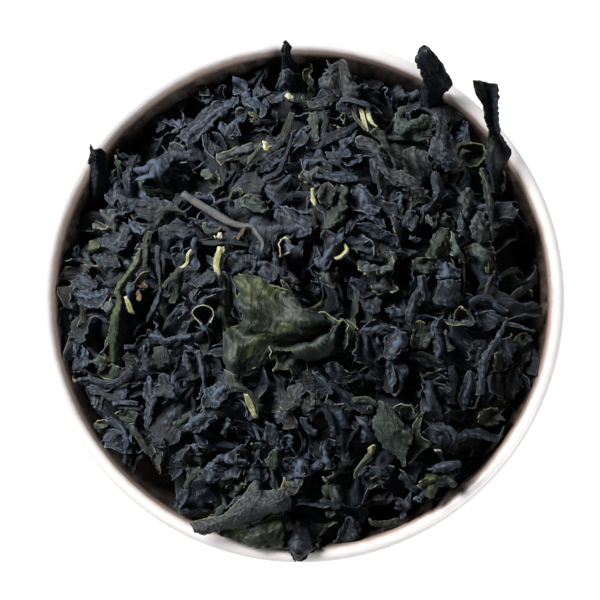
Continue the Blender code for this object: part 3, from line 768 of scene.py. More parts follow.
# The other upper leaves: the finish, how high the left, the middle and the right of
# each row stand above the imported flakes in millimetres, and the rows of places.
UPPER_LEAVES = [
    ("stalk", (7, 9, 7), """180,196 182,193 185,191
190,203 192,200 194,197
199,209 201,206 203,202
209,215 211,211 213,208
219,221 221,217 223,214
230,226 232,223 233,220
241,229 242,226 243,223
251,229 252,227 254,225
256,236 258,235 260,234
261,244 263,243 265,242
260,251 262,251 264,250"""),
    ("slate", (4, 6, 4), """195,85 204,81 213,84
194,92 204,91 214,92
197,101 205,104 213,101"""),
    ("umber", (7, 5.5, 7), """199,86 203,84 207,87
199,95 205,97 210,95"""),
    ("slate", (4, 7, 5), """232,84 240,80 249,83
233,90 241,87 251,90
238,94 243,95 249,93"""),
    ("slate", (4, 6, 5), """252,90 258,88 264,90
253,94 259,92 270,93
256,96 261,96 267,95"""),
    ("slate", (4, 6, 7), """242,97 243,101 245,105
252,98 252,103 254,109
260,101 261,107 258,114
268,103 266,110 266,117"""),
    ("slate", (5, 7, 6), """268,98 270,102 272,105
276,94 278,99 279,103
284,91 286,96 287,99
290,93 292,97 293,100"""),
    ("cream", (7, 8, 7), """284,95 286,97 288,99
288,94 290,97 291,99
292,96 293,98 294,99"""),
    ("slate", (4, 6, 5), """176,136 184,142 190,148
183,126 190,132 197,140
195,118 201,124 207,130
206,110 211,116 216,121
218,104 221,109 224,113
228,99 230,104 233,107
238,96 239,100 240,103"""),
    ("dusk", (5, 4, 3), """204,122 207,124 212,120
202,132 206,133 210,131
203,143 206,143 210,142
207,153 209,151 212,149
213,159 214,156 216,152"""),
    ("slate", (3, 4, 5), """246,112 249,115 250,119
236,115 240,119 242,124
230,121 235,127 238,131
222,127 229,133 236,137
224,132 230,137 234,140"""),
    ("lime", (5, 6, 5), """249,112 251,114 253,111
252,117 254,116 256,114
256,120 257,118 259,117
251,123 252,121 253,119"""),
    ("ash", (6, 7, 5), """217,154 216,160 222,165
228,150 228,156 230,161
239,147 240,152 240,157
250,144 251,149 252,153
261,142 262,145 261,148"""),
    ("cream", (7, 9, 7), """262,141 265,142 268,144
263,146 266,146 270,147
263,149 266,151 268,150"""),
    ("lime", (7, 8, 7), """259,144 261,145 263,146
254,152 256,154 258,154
249,158 251,160 253,160
246,162 248,165 250,164"""),
    ("umber", (3, 4, 3), """289,112 293,113 296,113
285,124 289,126 292,127
279,136 283,138 287,140
271,144 275,147 279,149
267,149 269,152 272,152"""),
    ("dusk", (5, 7, 4), """291,132 293,134 295,136
287,148 289,149 291,150
282,160 284,162 287,162
276,172 278,174 281,175
262,177 264,180 268,181"""),
    ("dusk", (3, 5, 4), """272,152 280,150 287,148
264,163 272,162 281,160
256,172 264,172 274,171"""),
    ("lime", (6, 8, 6), """201,171 204,169 206,170
202,176 207,174 211,173
206,180 210,179 214,177"""),
    ("moss", (4, 6, 5), """215,170 219,174 221,178
214,181 217,183 220,184
207,187 211,188 215,190"""),
    ("slate", (3, 5, 3), """182,76 185,74 188,77
181,84 186,84 190,85
178,91 184,93 189,91
176,101 180,99 186,101
177,110 181,112 185,109"""),
    ("slate", (4, 6, 4), """152,121 156,116 162,114
158,127 163,124 168,121
156,133 161,131 166,128"""),
    ("dusk", (4, 6, 5), """163,118 164,121 164,124
174,121 175,124 176,127
185,122 186,125 185,127"""),
    ("dusk", (4, 5, 4), """180,150 184,153 188,150
184,158 190,157 197,156
190,163 195,162 199,159"""),
    ("umber", (4, 6, 5), """307,102 308,105 310,108
318,101 319,104 320,107
328,96 330,100 331,104
335,90 337,94 338,99"""),
    ("moss", (4, 6, 5), """309,112 311,113 315,111
309,122 313,122 317,116
312,132 315,133 318,131
316,141 318,141 320,139"""),
    ("dusk", (4, 5, 4), """321,112 324,112 327,112
323,122 326,122 329,121
321,132 324,133 327,131
318,140 321,141 323,139"""),
    ("ink", (3, 4, 5), """363,80 364,85 366,89
374,78 375,83 376,88
384,78 385,83 386,87"""),
    ("ink", (4, 5, 4), """380,89 383,93 385,98
393,85 394,92 396,99
404,81 405,90 408,101
412,80 413,89 415,101"""),
    ("dusk", (4, 6, 5), """356,120 357,123 358,127
345,127 346,131 347,135
330,133 331,137 333,141
318,138 319,143 320,148
304,144 306,147 308,150"""),
    ("slate", (4, 7, 5), """357,132 356,137 354,142
346,138 347,142 346,147
340,142 340,147 343,152"""),
    ("slate", (5, 7, 7), """325,154 326,156 328,158
334,150 335,154 336,159
343,149 344,153 344,158
352,152 352,154 351,156"""),
    ("slate", (6, 5, 3), """302,168 301,163 302,158
312,163 312,158 313,154
322,163 323,159 323,155
331,173 332,168 334,163"""),
    ("slate", (6, 5, 4), """343,164 341,160 340,157
352,165 352,161 352,158
362,161 362,157 361,154"""),
    ("slate", (5, 7, 6), """315,170 316,174 317,178
330,172 331,177 332,181
345,173 346,178 347,182
358,176 358,179 357,182"""),
    ("ash", (5, 7, 5), """303,171 307,174 312,171
308,180 312,182 317,178
314,190 318,190 321,186"""),
    ("umber", (7, 5, 7), """321,183 328,182 335,186
318,192 326,192 336,193
319,200 326,200 333,200
323,204 328,205 331,204"""),
    ("cream", (7, 8, 7), """310,189 312,188 314,190
311,197 313,197 315,197
312,204 314,206 317,205"""),
    ("slate", (4, 5, 4), """111,179 117,177 122,182
109,192 115,194 120,190
107,204 112,207 118,202"""),
    ("ash", (5, 8, 6), """114,209 119,213 124,217
104,215 110,222 117,226
95,228 103,231 112,233"""),
    ("slate", (5, 7, 6), """118,221 124,222 130,226
112,231 120,236 130,238
103,240 112,246 126,247
108,251 115,253 122,252"""),
    ("slate", (4, 6, 6), """128,219 133,222 138,223
131,226 138,229 146,226
135,233 141,234 146,231"""),
    ("lime", (4, 6, 5), """100,243 100,246 99,249
93,242 93,245 94,248
87,247 88,249 90,251"""),
    ("slate", (4, 6, 4), """66,249 72,250 78,249
66,256 73,257 80,256
68,264 74,265 80,262"""),
    ("moss", (4, 6, 4), """81,252 84,250 88,253
86,262 89,261 93,262
83,273 87,272 91,270"""),
    ("dusk", (4, 6, 5), """94,255 96,261 98,267
106,255 107,261 109,267
118,256 119,262 121,267"""),
    ("slate", (4, 6, 5), """71,282 76,278 82,272
77,288 84,284 92,278
84,294 92,290 100,286"""),
    ("slate", (5, 4, 6), """72,290 74,297 78,303
84,289 86,299 90,308
97,289 98,300 99,309
110,287 109,293 106,300"""),
    ("ash", (5, 7, 5), """102,305 106,302 110,300
104,311 109,309 114,303
108,314 112,312 115,308"""),
    ("moss", (5, 7, 5), """146,232 149,231 153,232
143,243 147,243 150,243
141,256 146,257 150,256
140,266 145,268 149,265"""),
    ("ochre", (7, 8, 7), """137,285 139,287 141,289
143,284 144,286 145,288
148,285 148,287 148,289"""),
    ("ochre", (7, 8, 7), """136,292 138,291 141,292
137,297 139,296 142,297
138,301 140,301 142,300"""),
    ("dusk", (4, 5, 4), """157,250 161,254 165,258
160,262 164,266 167,268
161,272 164,275 166,277"""),
    ("slate", (5, 6, 5), """124,285 130,281 138,283
124,293 130,291 135,290
127,299 131,299 134,296"""),
    ("moss", (5, 7, 5), """88,360 88,363 89,367
97,357 97,361 98,365
106,360 106,365 104,369"""),
    ("dusk", (4, 5, 5), """84,345 87,350 90,354
77,357 82,361 88,362
73,369 79,371 86,370"""),
    ("cream", (5, 6, 5), """63,378 65,381 67,385
68,378 70,381 71,384
76,379 76,381 76,383"""),
    ("slate", (6, 7, 5), """76,379 76,381 76,383
88,376 88,379 88,382
98,379 98,383 98,386
108,381 108,385 109,388
118,378 119,382 120,386
126,371 128,376 131,379
131,364 134,368 136,372"""),
    ("moss", (4, 5, 4), """105,366 112,362 120,366
102,374 112,372 124,372
108,380 114,380 122,378"""),
    ("slate", (4, 6, 6), """87,385 89,390 91,395
100,385 101,391 102,396
112,390 113,396 114,402
127,387 127,394 126,400"""),
    ("ash", (4, 6, 4), """92,392 94,390 97,393
94,401 96,400 99,401
93,407 95,408 97,407"""),
    ("ash", (4, 6, 4), """101,394 104,393 106,397
100,403 102,403 104,403
99,409 101,411 103,409"""),
    ("slate", (6, 7, 6), """112,402 113,404 114,406
122,400 123,403 124,405
131,401 131,403 131,405
138,402 138,404 138,405"""),
    ("dusk", (5, 6, 5), """118,406 119,408 120,410
131,406 131,408 131,410
143,406 143,408 142,410"""),
    ("moss", (4, 5, 5), """114,416 116,412 120,409
124,420 126,414 129,409
135,425 137,418 138,412"""),
    ("slate", (5, 6, 4), """105,416 108,418 111,417
113,424 115,422 118,421
120,432 123,430 126,428
124,443 127,442 131,441
124,453 127,453 130,453
122,463 125,464 128,463"""),
    ("olive", (4, 6, 4), """92,424 98,421 105,418
95,430 101,427 108,423
98,434 102,431 106,428"""),
    ("moss", (5, 6, 4), """128,424 131,423 135,422
133,434 136,432 139,430
139,444 143,442 146,440
146,452 149,450 152,448
152,457 154,456 156,453"""),
    ("slate", (4, 6, 4), """141,346 146,343 150,345
139,357 145,358 150,355
142,370 150,372 157,368"""),
    ("slate", (4, 6, 5), """147,377 150,376 153,380
144,390 149,391 154,388
146,402 151,401 157,398
145,414 149,414 154,408
144,428 147,429 150,424"""),
    ("slate", (5, 8, 7), """157,378 163,374 171,374
156,386 164,383 173,384
160,393 168,391 176,391
166,397 172,399 178,397"""),
    ("slate", (5, 7, 5), """149,337 150,335 152,334
158,342 159,338 160,335
167,345 168,341 168,338
178,342 178,338 178,335
190,341 191,337 191,334"""),
    ("slate", (5, 7, 5), """182,351 186,350 189,352
184,362 187,361 191,359
188,371 190,372 192,369"""),
    ("slate", (5, 7, 5), """195,352 199,350 203,352
198,363 201,362 205,361
201,375 203,375 206,374
203,387 204,388 206,386"""),
    ("moss", (5, 7, 5), """190,413 191,416 192,419
181,418 182,421 183,424
174,423 175,427 177,429"""),
    ("slate", (4, 6, 6), """199,443 200,448 201,454
188,444 189,450 190,456
178,449 179,455 181,461
173,457 174,460 175,463"""),
    ("slate", (5, 7, 8), """220,382 226,383 230,385
212,386 219,388 226,391
205,395 213,398 223,400
200,405 209,409 219,410"""),
    ("slate", (4, 7, 8), """214,410 216,416 218,421
203,411 204,419 206,427
193,416 193,424 194,431
183,422 184,427 187,431"""),
    ("slate", (5, 6, 5), """194,432 199,431 205,430
197,440 202,440 206,437
202,446 206,447 209,442"""),
    ("slate", (5, 7, 5), """220,433 223,435 226,438
224,424 227,427 230,431
228,417 231,420 233,424"""),
    ("umber", (6, 8, 9), """300,382 303,385 306,389
291,388 294,391 297,396
285,399 289,401 293,404
279,406 281,408 284,412"""),
    ("ash", (7, 9, 8), """303,392 309,391 315,395
301,402 310,402 318,402
300,411 307,413 313,409"""),
    ("umber", (6, 8, 7), """283,412 289,409 295,412
283,420 290,419 297,422
281,428 288,430 300,427"""),
    ("slate", (7, 9, 7), """300,416 304,417 309,418
301,424 305,424 309,423
308,432 311,430 313,428
316,436 317,433 319,430"""),
    ("slate", (6, 9, 7), """302,414 307,416 311,419
312,407 315,411 317,415
321,404 323,409 323,414
331,412 330,417 328,421
337,424 333,427 330,429
342,436 336,437 331,437"""),
    ("slate", (5, 7, 5), """320,442 327,440 335,438
322,450 327,450 331,449
323,462 328,463 333,461
325,470 330,470 333,468"""),
    ("dusk", (6, 8, 6), """266,421 272,424 278,426
265,433 273,436 281,437
267,443 274,446 282,447"""),
    ("slate", (8, 6, 8), """282,437 288,434 294,437
281,444 286,444 292,443
283,448 287,448 291,445"""),
    ("dusk", (4, 7, 6), """219,456 227,452 236,452
215,466 228,463 243,462
221,478 234,476 248,474"""),
    ("ink", (5, 7, 5), """243,465 251,466 259,458
247,474 257,473 265,467
250,484 259,484 269,480"""),
    ("slate", (5, 8, 7), """198,470 206,468 214,467
199,478 208,476 220,474
202,485 210,485 219,482"""),
    ("moss", (5, 6, 5), """200,466 200,469 201,472
192,472 194,475 196,478
183,486 185,488 187,490"""),
    ("slate", (3, 5, 4), """183,488 188,489 193,488
177,500 182,502 188,500
173,510 177,510 182,507"""),
    ("moss", (4, 6, 5), """228,482 236,481 246,480
230,490 237,490 244,488
233,499 236,500 239,495"""),
    ("moss", (5, 8, 5), """269,452 274,449 281,448
268,460 274,461 282,459
270,468 275,470 281,466"""),
    ("slate", (4, 7, 7), """294,461 303,459 309,466
288,470 297,470 308,473
284,479 290,479 299,478"""),
    ("ash", (5, 7, 7), """293,479 299,476 306,473
287,487 294,486 302,482
289,493 294,495 299,491"""),
    ("slate", (4, 6, 7), """277,206 290,205 300,208
276,216 293,218 311,216
283,228 297,230 312,228
294,238 303,238 311,235"""),
    ("moss", (4, 8, 7), """340,187 344,186 349,189
334,200 339,202 347,203
328,212 334,214 343,214
321,227 328,228 338,227"""),
    ("slate", (4, 7, 6), """350,186 360,184 366,188
351,196 362,196 375,199
354,206 365,207 379,208
358,214 368,215 381,215"""),
    ("slate", (6, 5, 3), """345,233 348,226 352,220
360,222 361,217 362,213
373,220 374,215 375,211
386,229 383,222 382,216"""),
    ("slate", (3, 6, 6), """350,230 354,226 358,223
366,233 369,228 372,223
378,241 382,235 386,231
391,245 394,241 395,236
399,248 401,247 401,244"""),
    ("slate", (5, 8, 7), """327,231 336,230 344,230
324,241 334,241 344,239
321,252 330,252 340,250
318,263 326,265 333,260
320,270 325,271 331,268"""),
    ("cream", (7, 8, 7), """344,243 346,245 348,247
345,250 347,251 349,252
340,255 341,257 343,258
334,257 335,259 337,260"""),
    ("ink", (5, 6, 5), """346,241 352,247 357,254
362,242 366,251 371,260
378,244 382,253 388,262"""),
    ("moss", (4, 5, 6), """376,249 386,251 397,253
381,257 389,258 397,258
387,263 392,263 396,261"""),
    ("ash", (4, 7, 8), """356,264 359,268 365,275
367,264 370,268 374,273
378,267 380,270 383,273
387,261 388,266 389,270
393,258 394,261 396,264"""),
    ("umber", (4, 6, 5), """379,275 386,272 392,271
375,284 385,283 394,281
372,292 384,293 399,293"""),
    ("slate", (4, 7, 4), """352,276 350,281 349,286
361,280 357,287 353,291
369,291 364,297 359,301
380,300 372,307 364,309
385,311 377,314 370,315"""),
    ("slate", (5, 6, 5), """385,308 389,308 393,306
388,313 391,313 395,311
390,317 393,318 397,315"""),
    ("umber", (5, 6, 4), """390,217 393,216 395,214
393,227 396,226 398,224
396,236 399,236 401,234
396,246 398,247 400,246"""),
    ("slate", (4, 6, 5), """405,212 410,210 417,211
404,222 411,222 417,220
408,230 412,232 415,228"""),
    ("ash", (5, 6, 6), """425,215 428,215 432,218
427,221 430,221 433,224
430,225 432,226 434,226"""),
    ("slate", (4, 6, 5), """409,235 412,237 415,236
411,240 414,240 418,239
417,243 420,241 422,238"""),
    ("moss", (4, 7, 5), """441,226 446,228 452,228
434,235 439,238 443,241
429,246 434,249 438,253
425,258 430,260 436,260"""),
    ("moss", (5, 7, 4), """450,231 454,232 457,232
451,244 456,243 460,242
452,256 459,254 464,258
460,261 464,263 467,264"""),
    ("olive", (2, 1.5, 2), """440,236 446,236 450,236
436,248 446,250 453,246
436,261 445,263 453,258"""),
    ("moss", (4, 6, 4), """412,257 420,258 430,257
414,265 422,266 434,264
418,272 426,274 436,271"""),
    ("slate", (4, 6, 4), """417,276 421,276 425,275
419,288 423,288 427,287
422,299 425,301 428,297"""),
    ("dusk", (4, 6, 4), """418,284 420,287 423,290
411,298 416,300 421,303
406,312 411,314 417,314
405,322 410,325 415,323"""),
    ("moss", (5, 8, 5), """322,270 328,268 336,268
322,279 329,280 339,278
328,287 333,289 339,286"""),
    ("slate", (5, 8, 8), """390,325 397,329 408,334
388,337 396,340 407,341
385,348 393,350 402,350
381,357 389,360 397,358"""),
    ("dusk", (4, 7, 5), """385,361 395,360 405,360
387,372 396,372 406,371
391,383 397,384 404,384
392,393 396,396 400,392"""),
    ("ink", (6, 3, 5), """355,331 366,330 377,328
353,344 366,346 382,345
358,357 368,361 379,357
366,366 370,369 374,366"""),
    ("slate", (6, 7, 5), """359,333 361,330 363,327
370,335 372,331 373,327
380,331 381,328 381,324
389,330 389,327 388,324"""),
    ("moss", (4, 5, 5), """414,322 420,320 428,324
411,335 420,334 429,336
410,347 420,349 431,346"""),
    ("slate", (5, 8, 5), """434,317 438,319 443,315
432,330 437,331 442,328
433,343 439,343 445,340
434,356 438,358 443,352"""),
    ("moss", (5, 7, 5), """443,331 445,330 447,329
446,342 448,342 450,340
449,351 451,352 453,349"""),
    ("umber", (5, 6, 4), """408,356 409,358 410,361
420,351 420,354 421,357
432,356 432,359 432,362
444,361 443,364 442,367"""),
    ("umber", (4, 5, 3), """419,374 421,376 423,379
431,373 432,375 432,378
441,368 442,370 444,372"""),
    ("slate", (6, 8, 7), """312,371 314,373 317,370
319,380 322,381 325,378
326,389 329,389 331,386
330,395 332,395 334,391"""),
    ("ink", (5, 7, 6), """322,365 330,362 338,362
330,375 340,377 350,372
340,384 352,382 364,372"""),
    ("dusk", (5, 7, 6), """330,382 332,386 335,391
345,391 346,398 348,405
358,398 359,405 360,412
374,403 374,409 373,415"""),
    ("moss", (6, 7, 6), """352,398 353,401 355,404
364,396 365,400 366,403
376,400 376,404 376,408"""),
    ("dusk", (5, 6, 5), """320,404 329,402 338,406
331,416 339,415 347,418
338,431 346,430 355,428"""),
    ("ink", (4, 6, 5), """420,382 432,380 443,384
418,394 433,395 447,394
424,406 436,409 448,404
433,417 440,421 446,413"""),
    ("dusk", (4, 6, 4), """448,366 452,366 457,366
449,377 452,378 456,378
448,390 452,391 456,390
447,402 452,405 457,402"""),
    ("slate", (4, 6, 5), """437,263 446,262 453,265
434,272 446,271 460,272
435,281 447,280 459,281"""),
    ("dusk", (4, 5, 4), """493,270 496,273 499,272
488,282 491,284 494,282
484,292 486,295 489,293"""),
    ("slate", (4, 5, 4), """497,276 499,278 500,280
508,269 509,272 510,275
518,267 518,270 518,273"""),
    ("umber", (3, 4, 3), """540,262 542,266 543,271
529,278 531,282 532,287
519,287 520,291 521,296
510,296 510,299 511,303"""),
    ("slate", (4, 6, 4), """467,312 469,311 472,311
469,301 472,303 475,305
480,295 481,299 482,302
492,297 490,300 489,304
501,305 498,307 496,310
509,310 507,313 505,316"""),
    ("slate", (4, 6, 6), """474,314 485,311 498,310
478,322 488,321 501,320
480,333 488,331 496,328"""),
    ("slate", (4, 6, 6), """497,338 505,337 514,333
499,346 506,347 514,345
503,353 508,355 514,356
504,365 508,367 513,362"""),
    ("moss", (5, 6, 5), """493,354 497,352 500,356
494,363 499,362 504,362
493,370 498,371 504,368"""),
    ("slate", (4, 6, 4), """488,372 494,370 501,371
487,384 494,384 501,386
493,394 499,397 505,399"""),
    ("umber", (4, 5, 5), """515,336 523,333 531,336
515,344 523,346 529,343"""),
    ("moss", (4, 6, 5), """531,350 531,354 531,357
522,355 523,360 524,364
517,366 519,371 521,376"""),
    ("ink", (4, 5, 5), """469,343 480,340 491,343
467,354 478,355 486,356
466,364 474,366 481,366"""),
    ("ink", (4, 5, 5), """505,372 513,366 522,367
506,384 514,383 523,380
505,397 513,397 519,392"""),
    ("moss", (5, 4, 5), """480,410 488,408 501,407
478,418 488,419 501,418
480,425 490,427 500,424"""),
    ("slate", (4, 6, 6), """456,436 458,439 461,444
467,429 467,433 468,438
480,430 479,434 478,439
491,434 490,438 489,441
501,433 499,437 497,441
506,425 504,427 501,430"""),
    ("slate", (4, 6, 4), """466,372 470,370 475,374
462,384 468,385 474,384
460,396 466,398 472,398
460,409 464,411 468,408"""),
    ("moss", (4, 6, 5), """321,487 331,480 344,486
324,496 332,496 343,497
325,506 330,507 338,508
328,515 330,517 333,513"""),
    ("slate", (4, 6, 5), """358,471 372,466 387,470
364,478 376,478 391,478"""),
    ("dusk", (4, 6, 5), """343,520 350,516 356,520
340,532 350,532 360,530
330,546 345,547 358,542"""),
    ("moss", (4, 6, 4), """368,518 371,520 374,522
374,526 376,524 378,521
388,529 388,525 388,521
401,524 399,520 398,517"""),
    ("dusk", (4, 6, 5), """393,498 403,500 414,497
397,507 403,508 409,505
401,518 403,519 406,515"""),
    ("umber", (4, 6, 5), """368,480 373,476 381,476
366,489 372,488 382,484"""),
    ("slate", (4, 6, 5), """398,469 406,473 414,477
403,480 410,484 417,487
408,489 413,492 419,494"""),
    ("lime", (6, 7, 6), """369,451 371,455 373,458
362,460 364,463 366,465
355,470 357,472 359,473
353,477 354,479 356,479"""),
    ("dusk", (3, 4, 5), """188,219 196,222 200,229
206,218 208,226 210,235
224,221 226,230 228,239
240,225 242,232 244,240"""),
    ("moss", (6, 8, 6), """202,224 205,222 207,225
205,232 208,229 211,230
214,234 215,231 216,229
223,229 222,227 220,226"""),
    ("ochre", (8, 9, 8), """242,228 244,227 246,229
239,234 241,233 244,235
235,240 237,239 239,241"""),
    ("cream", (8, 9, 8), """214,236 215,237 216,239
218,235 219,236 219,238
222,234 222,236 222,237"""),
    ("slate", (6, 8, 6), """192,238 196,236 200,240
190,248 195,248 199,250
189,258 194,259 198,259
190,268 194,271 198,268"""),
    ("slate", (6, 8, 7), """207,269 213,271 219,273
199,277 206,281 213,281
191,283 196,287 201,285"""),
    ("slate", (6, 8, 6), """204,290 211,287 218,291
205,298 212,299 220,296"""),
    ("slate", (6, 7, 6), """200,288 198,291 197,295
193,290 193,294 194,298
190,298 192,300 195,302
194,306 196,304 199,303"""),
    ("slate", (5, 7, 6), """257,262 265,261 273,264
259,272 267,271 277,272
264,281 269,283 276,281"""),
    ("slate", (5, 6, 5), """252,257 254,257 256,258
251,265 255,265 258,266
250,272 253,274 256,272"""),
    ("cup", (8, 6, 8), """280,239 285,236 291,240
278,248 285,246 293,248
279,257 284,256 290,254"""),
    ("moss", (5, 7, 5), """240,197 250,194 262,196
241,206 252,206 266,204
258,212 264,213 271,210"""),
    ("slate", (5, 7, 5), """177,314 181,308 185,304
180,318 184,315 189,311"""),
]


def noted(text):
    """The numbers of a leaf's notes: rows of points."""
    return np.array([
        [[float(number) for number in point.split(",")] for point in row.split()]
        for row in text.strip().splitlines()
    ])


def seen_at(places, height):
    """Points of the frame: on the eye's sight lines through these places, this high."""
    across, down = np.moveaxis((places - VIEW_STEPS / 2) * VIEW_WIDTH / VIEW_STEPS, -1, 0)
    way = across[..., None] * VIEW_RIGHT - down[..., None] * VIEW_UP - VIEW_DISTANCE * VIEW_BACK
    return EYE + way * ((height - EYE[2]) / way[..., 2])[..., None]


def leaf_net(look, text):
    """The points of a leaf that is noted with its own heights."""
    left, top, steps = LOOKS[look]
    notes = noted(text)
    return seen_at(notes[..., :2] / steps + (left, top), RIM + notes[..., 2] * MM)


def upper_net(lifts, text):
    """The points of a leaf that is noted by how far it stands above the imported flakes."""
    places = noted(text)
    on_rim = seen_at(places, np.full(places.shape[:2], RIM))
    packed = core_height(on_rim[..., 0], on_rim[..., 1])
    left, middle, right = lifts
    straight = (left + right) / 2
    middle = straight + (middle - straight) * UPPER_ARCH
    return seen_at(places, packed + np.array((left, middle, right)) * MM)


# ---- meshes of many thin sheets ----------------------------------------------------------

THICKNESS = 0.18 * MM
MARGIN = 0.45 * MM  # how far in from its edge a sheet is paler: partly its thinner tissue, partly a painted edge highlight
SPACING = 0.42 * MM  # between the points of a leaf that stands out
LEAF_CRINKLE = 0.3  # how much of a grown sheet's crinkles the leaves take
UPPER_CRINKLE = 0.7
SIDEWAYS = 0.45  # how much of them is kept within the sheet
SMOOTHER = {
    "centre_leaf": 0.25, "rim_leaf": 0.22, "rim_under_leaf": 0.2, "left_leaf": 0.2,
    "curled_cup": 0.05, "stalk": 0.06,
}
RIDGE_SCALE = 0.10 * MM  # how sharply a sheet bends before its crest has the full bloom and painted highlight, or its hollow the full painted shade
BITE = 0.7 * MM  # the deepest tear in a margin
TEAR_LENGTH = 1.6 * MM
FINE_FORM = (0.11 * MM, 0.12 * MM, 0.20 * MM)  # heights of a leaf's crepe, pleats, ruffle
FLAKE_FORM = (0.06 * MM, 0.0, 0.12 * MM)  # and of a loose flake's
RUFFLED = 2.2 * MM  # how far in the ruffle reaches
SHEET_SHIFT = np.array([0.031, 0.047])  # from one sheet's place in the pattern to the next
SHEET_SCALE = 10  # from metres to the pattern


def between(count, wanted):
    """Weights that read a row of points at more or fewer places, smoothly."""
    places = np.linspace(0, count - 1, wanted)
    left = np.minimum(places.astype(int), count - 2)
    f = places - left
    weights = np.zeros((wanted, count))
    terms = (
        (-f + 2 * f**2 - f**3) / 2,
        (2 - 5 * f**2 + 3 * f**3) / 2,
        (f + 4 * f**2 - 3 * f**3) / 2,
        (-(f**2) + f**3) / 2,
    )
    for shift, term in zip((-1, 0, 1, 2), terms):
        column = np.clip(left + shift, 0, count - 1)
        np.add.at(weights, (np.arange(wanted), column), term)
    return weights


def resized(grid, rows, columns):
    """The same sheet with this many points along and across it."""
    down = between(grid.shape[0], rows)
    over = between(grid.shape[1], columns)
    return np.einsum("ra,abk,cb->rck", down, grid, over)


def sheet_normals(grid):
    along = np.gradient(grid, axis=0)
    across = np.gradient(grid, axis=1)
    normals = np.cross(across, along)
    return normals / (np.linalg.norm(normals, axis=-1, keepdims=True) + 1e-12)


def ridges(grid, normals):
    """How much each point stands out of its neighbours, towards the normal."""
    padded = np.pad(grid, ((1, 1), (1, 1), (0, 0)), mode="reflect", reflect_type="odd")
    around = padded[2:, 1:-1] + padded[:-2, 1:-1] + padded[1:-1, 2:] + padded[1:-1, :-2]
    return np.einsum("rck,rck->rc", grid - around / 4, normals) / RIDGE_SCALE


def edge_distance(flat):
    """How far each point of the flat sheet is from the sheet's margin."""
    side = np.minimum(flat[..., 0] - flat[:, :1, 0], flat[:, -1:, 0] - flat[..., 0])
    end = np.minimum(flat[..., 1] - flat[:1, :, 1], flat[-1:, :, 1] - flat[..., 1])
    return np.minimum(side, end)


def ragged(rng, length, depth):
    """How deep a torn margin's bites are, at points along its length."""
    knots = np.linspace(0, 1, max(3, int(length / TEAR_LENGTH)))
    bites = rng.random(len(knots)) ** 2.5 * depth
    return lambda count: np.interp(np.linspace(0, 1, count), knots, bites)


def row_widths(points):
    return np.linalg.norm(np.diff(points, axis=1), axis=-1).sum(axis=1)


def torn(rng, points, depth):
    """The sheet with each row drawn in from its ends, by a ragged amount."""
    rows, columns, _ = points.shape
    widths = row_widths(points)
    length = np.linalg.norm(np.diff(points[:, columns // 2], axis=0), axis=-1).sum()
    left = ragged(rng, length, depth)(rows) / widths
    right = ragged(rng, length, depth)(rows) / widths
    places = np.linspace(0, 1, columns)
    drawn = points.copy()
    for row, (start, end) in enumerate(zip(np.minimum(left, 0.2), np.minimum(right, 0.2))):
        wanted = start + places * (1 - start - end)
        for axis in range(3):
            drawn[row, :, axis] = np.interp(wanted, places, points[row, :, axis])
    return drawn


def flat_form(points):
    """Where each point would be if the sheet were pulled flat: (across, along)."""
    across = np.linalg.norm(np.diff(points, axis=1), axis=-1).cumsum(axis=1)
    across = np.pad(across, ((0, 0), (1, 0)))
    along = np.linalg.norm(np.diff(points, axis=0), axis=-1).mean(axis=1).cumsum()
    along = np.pad(along, (1, 0))
    along = np.broadcast_to(along[:, None], across.shape)
    return np.stack([across - across[:, -1:] / 2, along], -1)


def wrinkled(rng, points, flat, crepe, pleat, ruffle):
    """Fine wrinkles along the sheet, wider pleats and a ruffled margin."""
    u, v = flat[..., 0] / MM, flat[..., 1] / MM
    edge = 1 - np.clip(edge_distance(flat) / RUFFLED, 0, 1)

    def wave(across, along, wander):
        bend = np.sin(TAU * (v / rng.uniform(5, 9) + u / 11 + rng.random()))
        bend += 0.7 * np.sin(TAU * (u / rng.uniform(4, 7) - v / 6 + rng.random()))
        return np.sin(TAU * (u / across + v / along + wander * bend + rng.random()))

    fade = 0.55 + 0.45 * wave(5.0, 6.0, 0.3)
    fine = wave(1.15, 14.0, 0.9) * fade + 0.6 * wave(0.85, -9.0, 0.7) * (1 - fade)
    broad = wave(3.6, 17.0, 0.5) + 0.6 * wave(-5.5, 6.0, 0.6)
    frill = wave(9.0, 2.5, 0.5) + 0.6 * wave(6.0, 1.6, 0.4)
    height = crepe * fine * (1 - 0.5 * edge) + pleat * broad + ruffle * frill * edge**1.5
    return points + sheet_normals(points) * height[..., None]


def shaped_sheet(rng, net, sheet, crinkle):
    """A leaf's fine, crinkled and torn sheet from its net, with its flat form."""
    length = np.linalg.norm(np.diff(net, axis=0), axis=-1).sum(axis=0).mean()
    width = row_widths(net).max()
    fine_rows = int(np.clip(length / SPACING, 8, 64)) + 1
    fine_columns = int(np.clip(width / SPACING, 4, 64)) + 1
    points = resized(net, fine_rows, fine_columns)
    bite = min(BITE, 0.08 * width)
    points = torn(rng, points, bite)
    points = torn(rng, points.transpose(1, 0, 2), bite).transpose(1, 0, 2)
    flat = flat_form(points)
    points = crinkled_like(sheet, points, width, crinkle)
    share = min(1.0, width / (5 * MM)) * min(1.0, 4 * crinkle)
    points = wrinkled(rng, points, flat, *(height * share for height in FINE_FORM))
    return points, flat


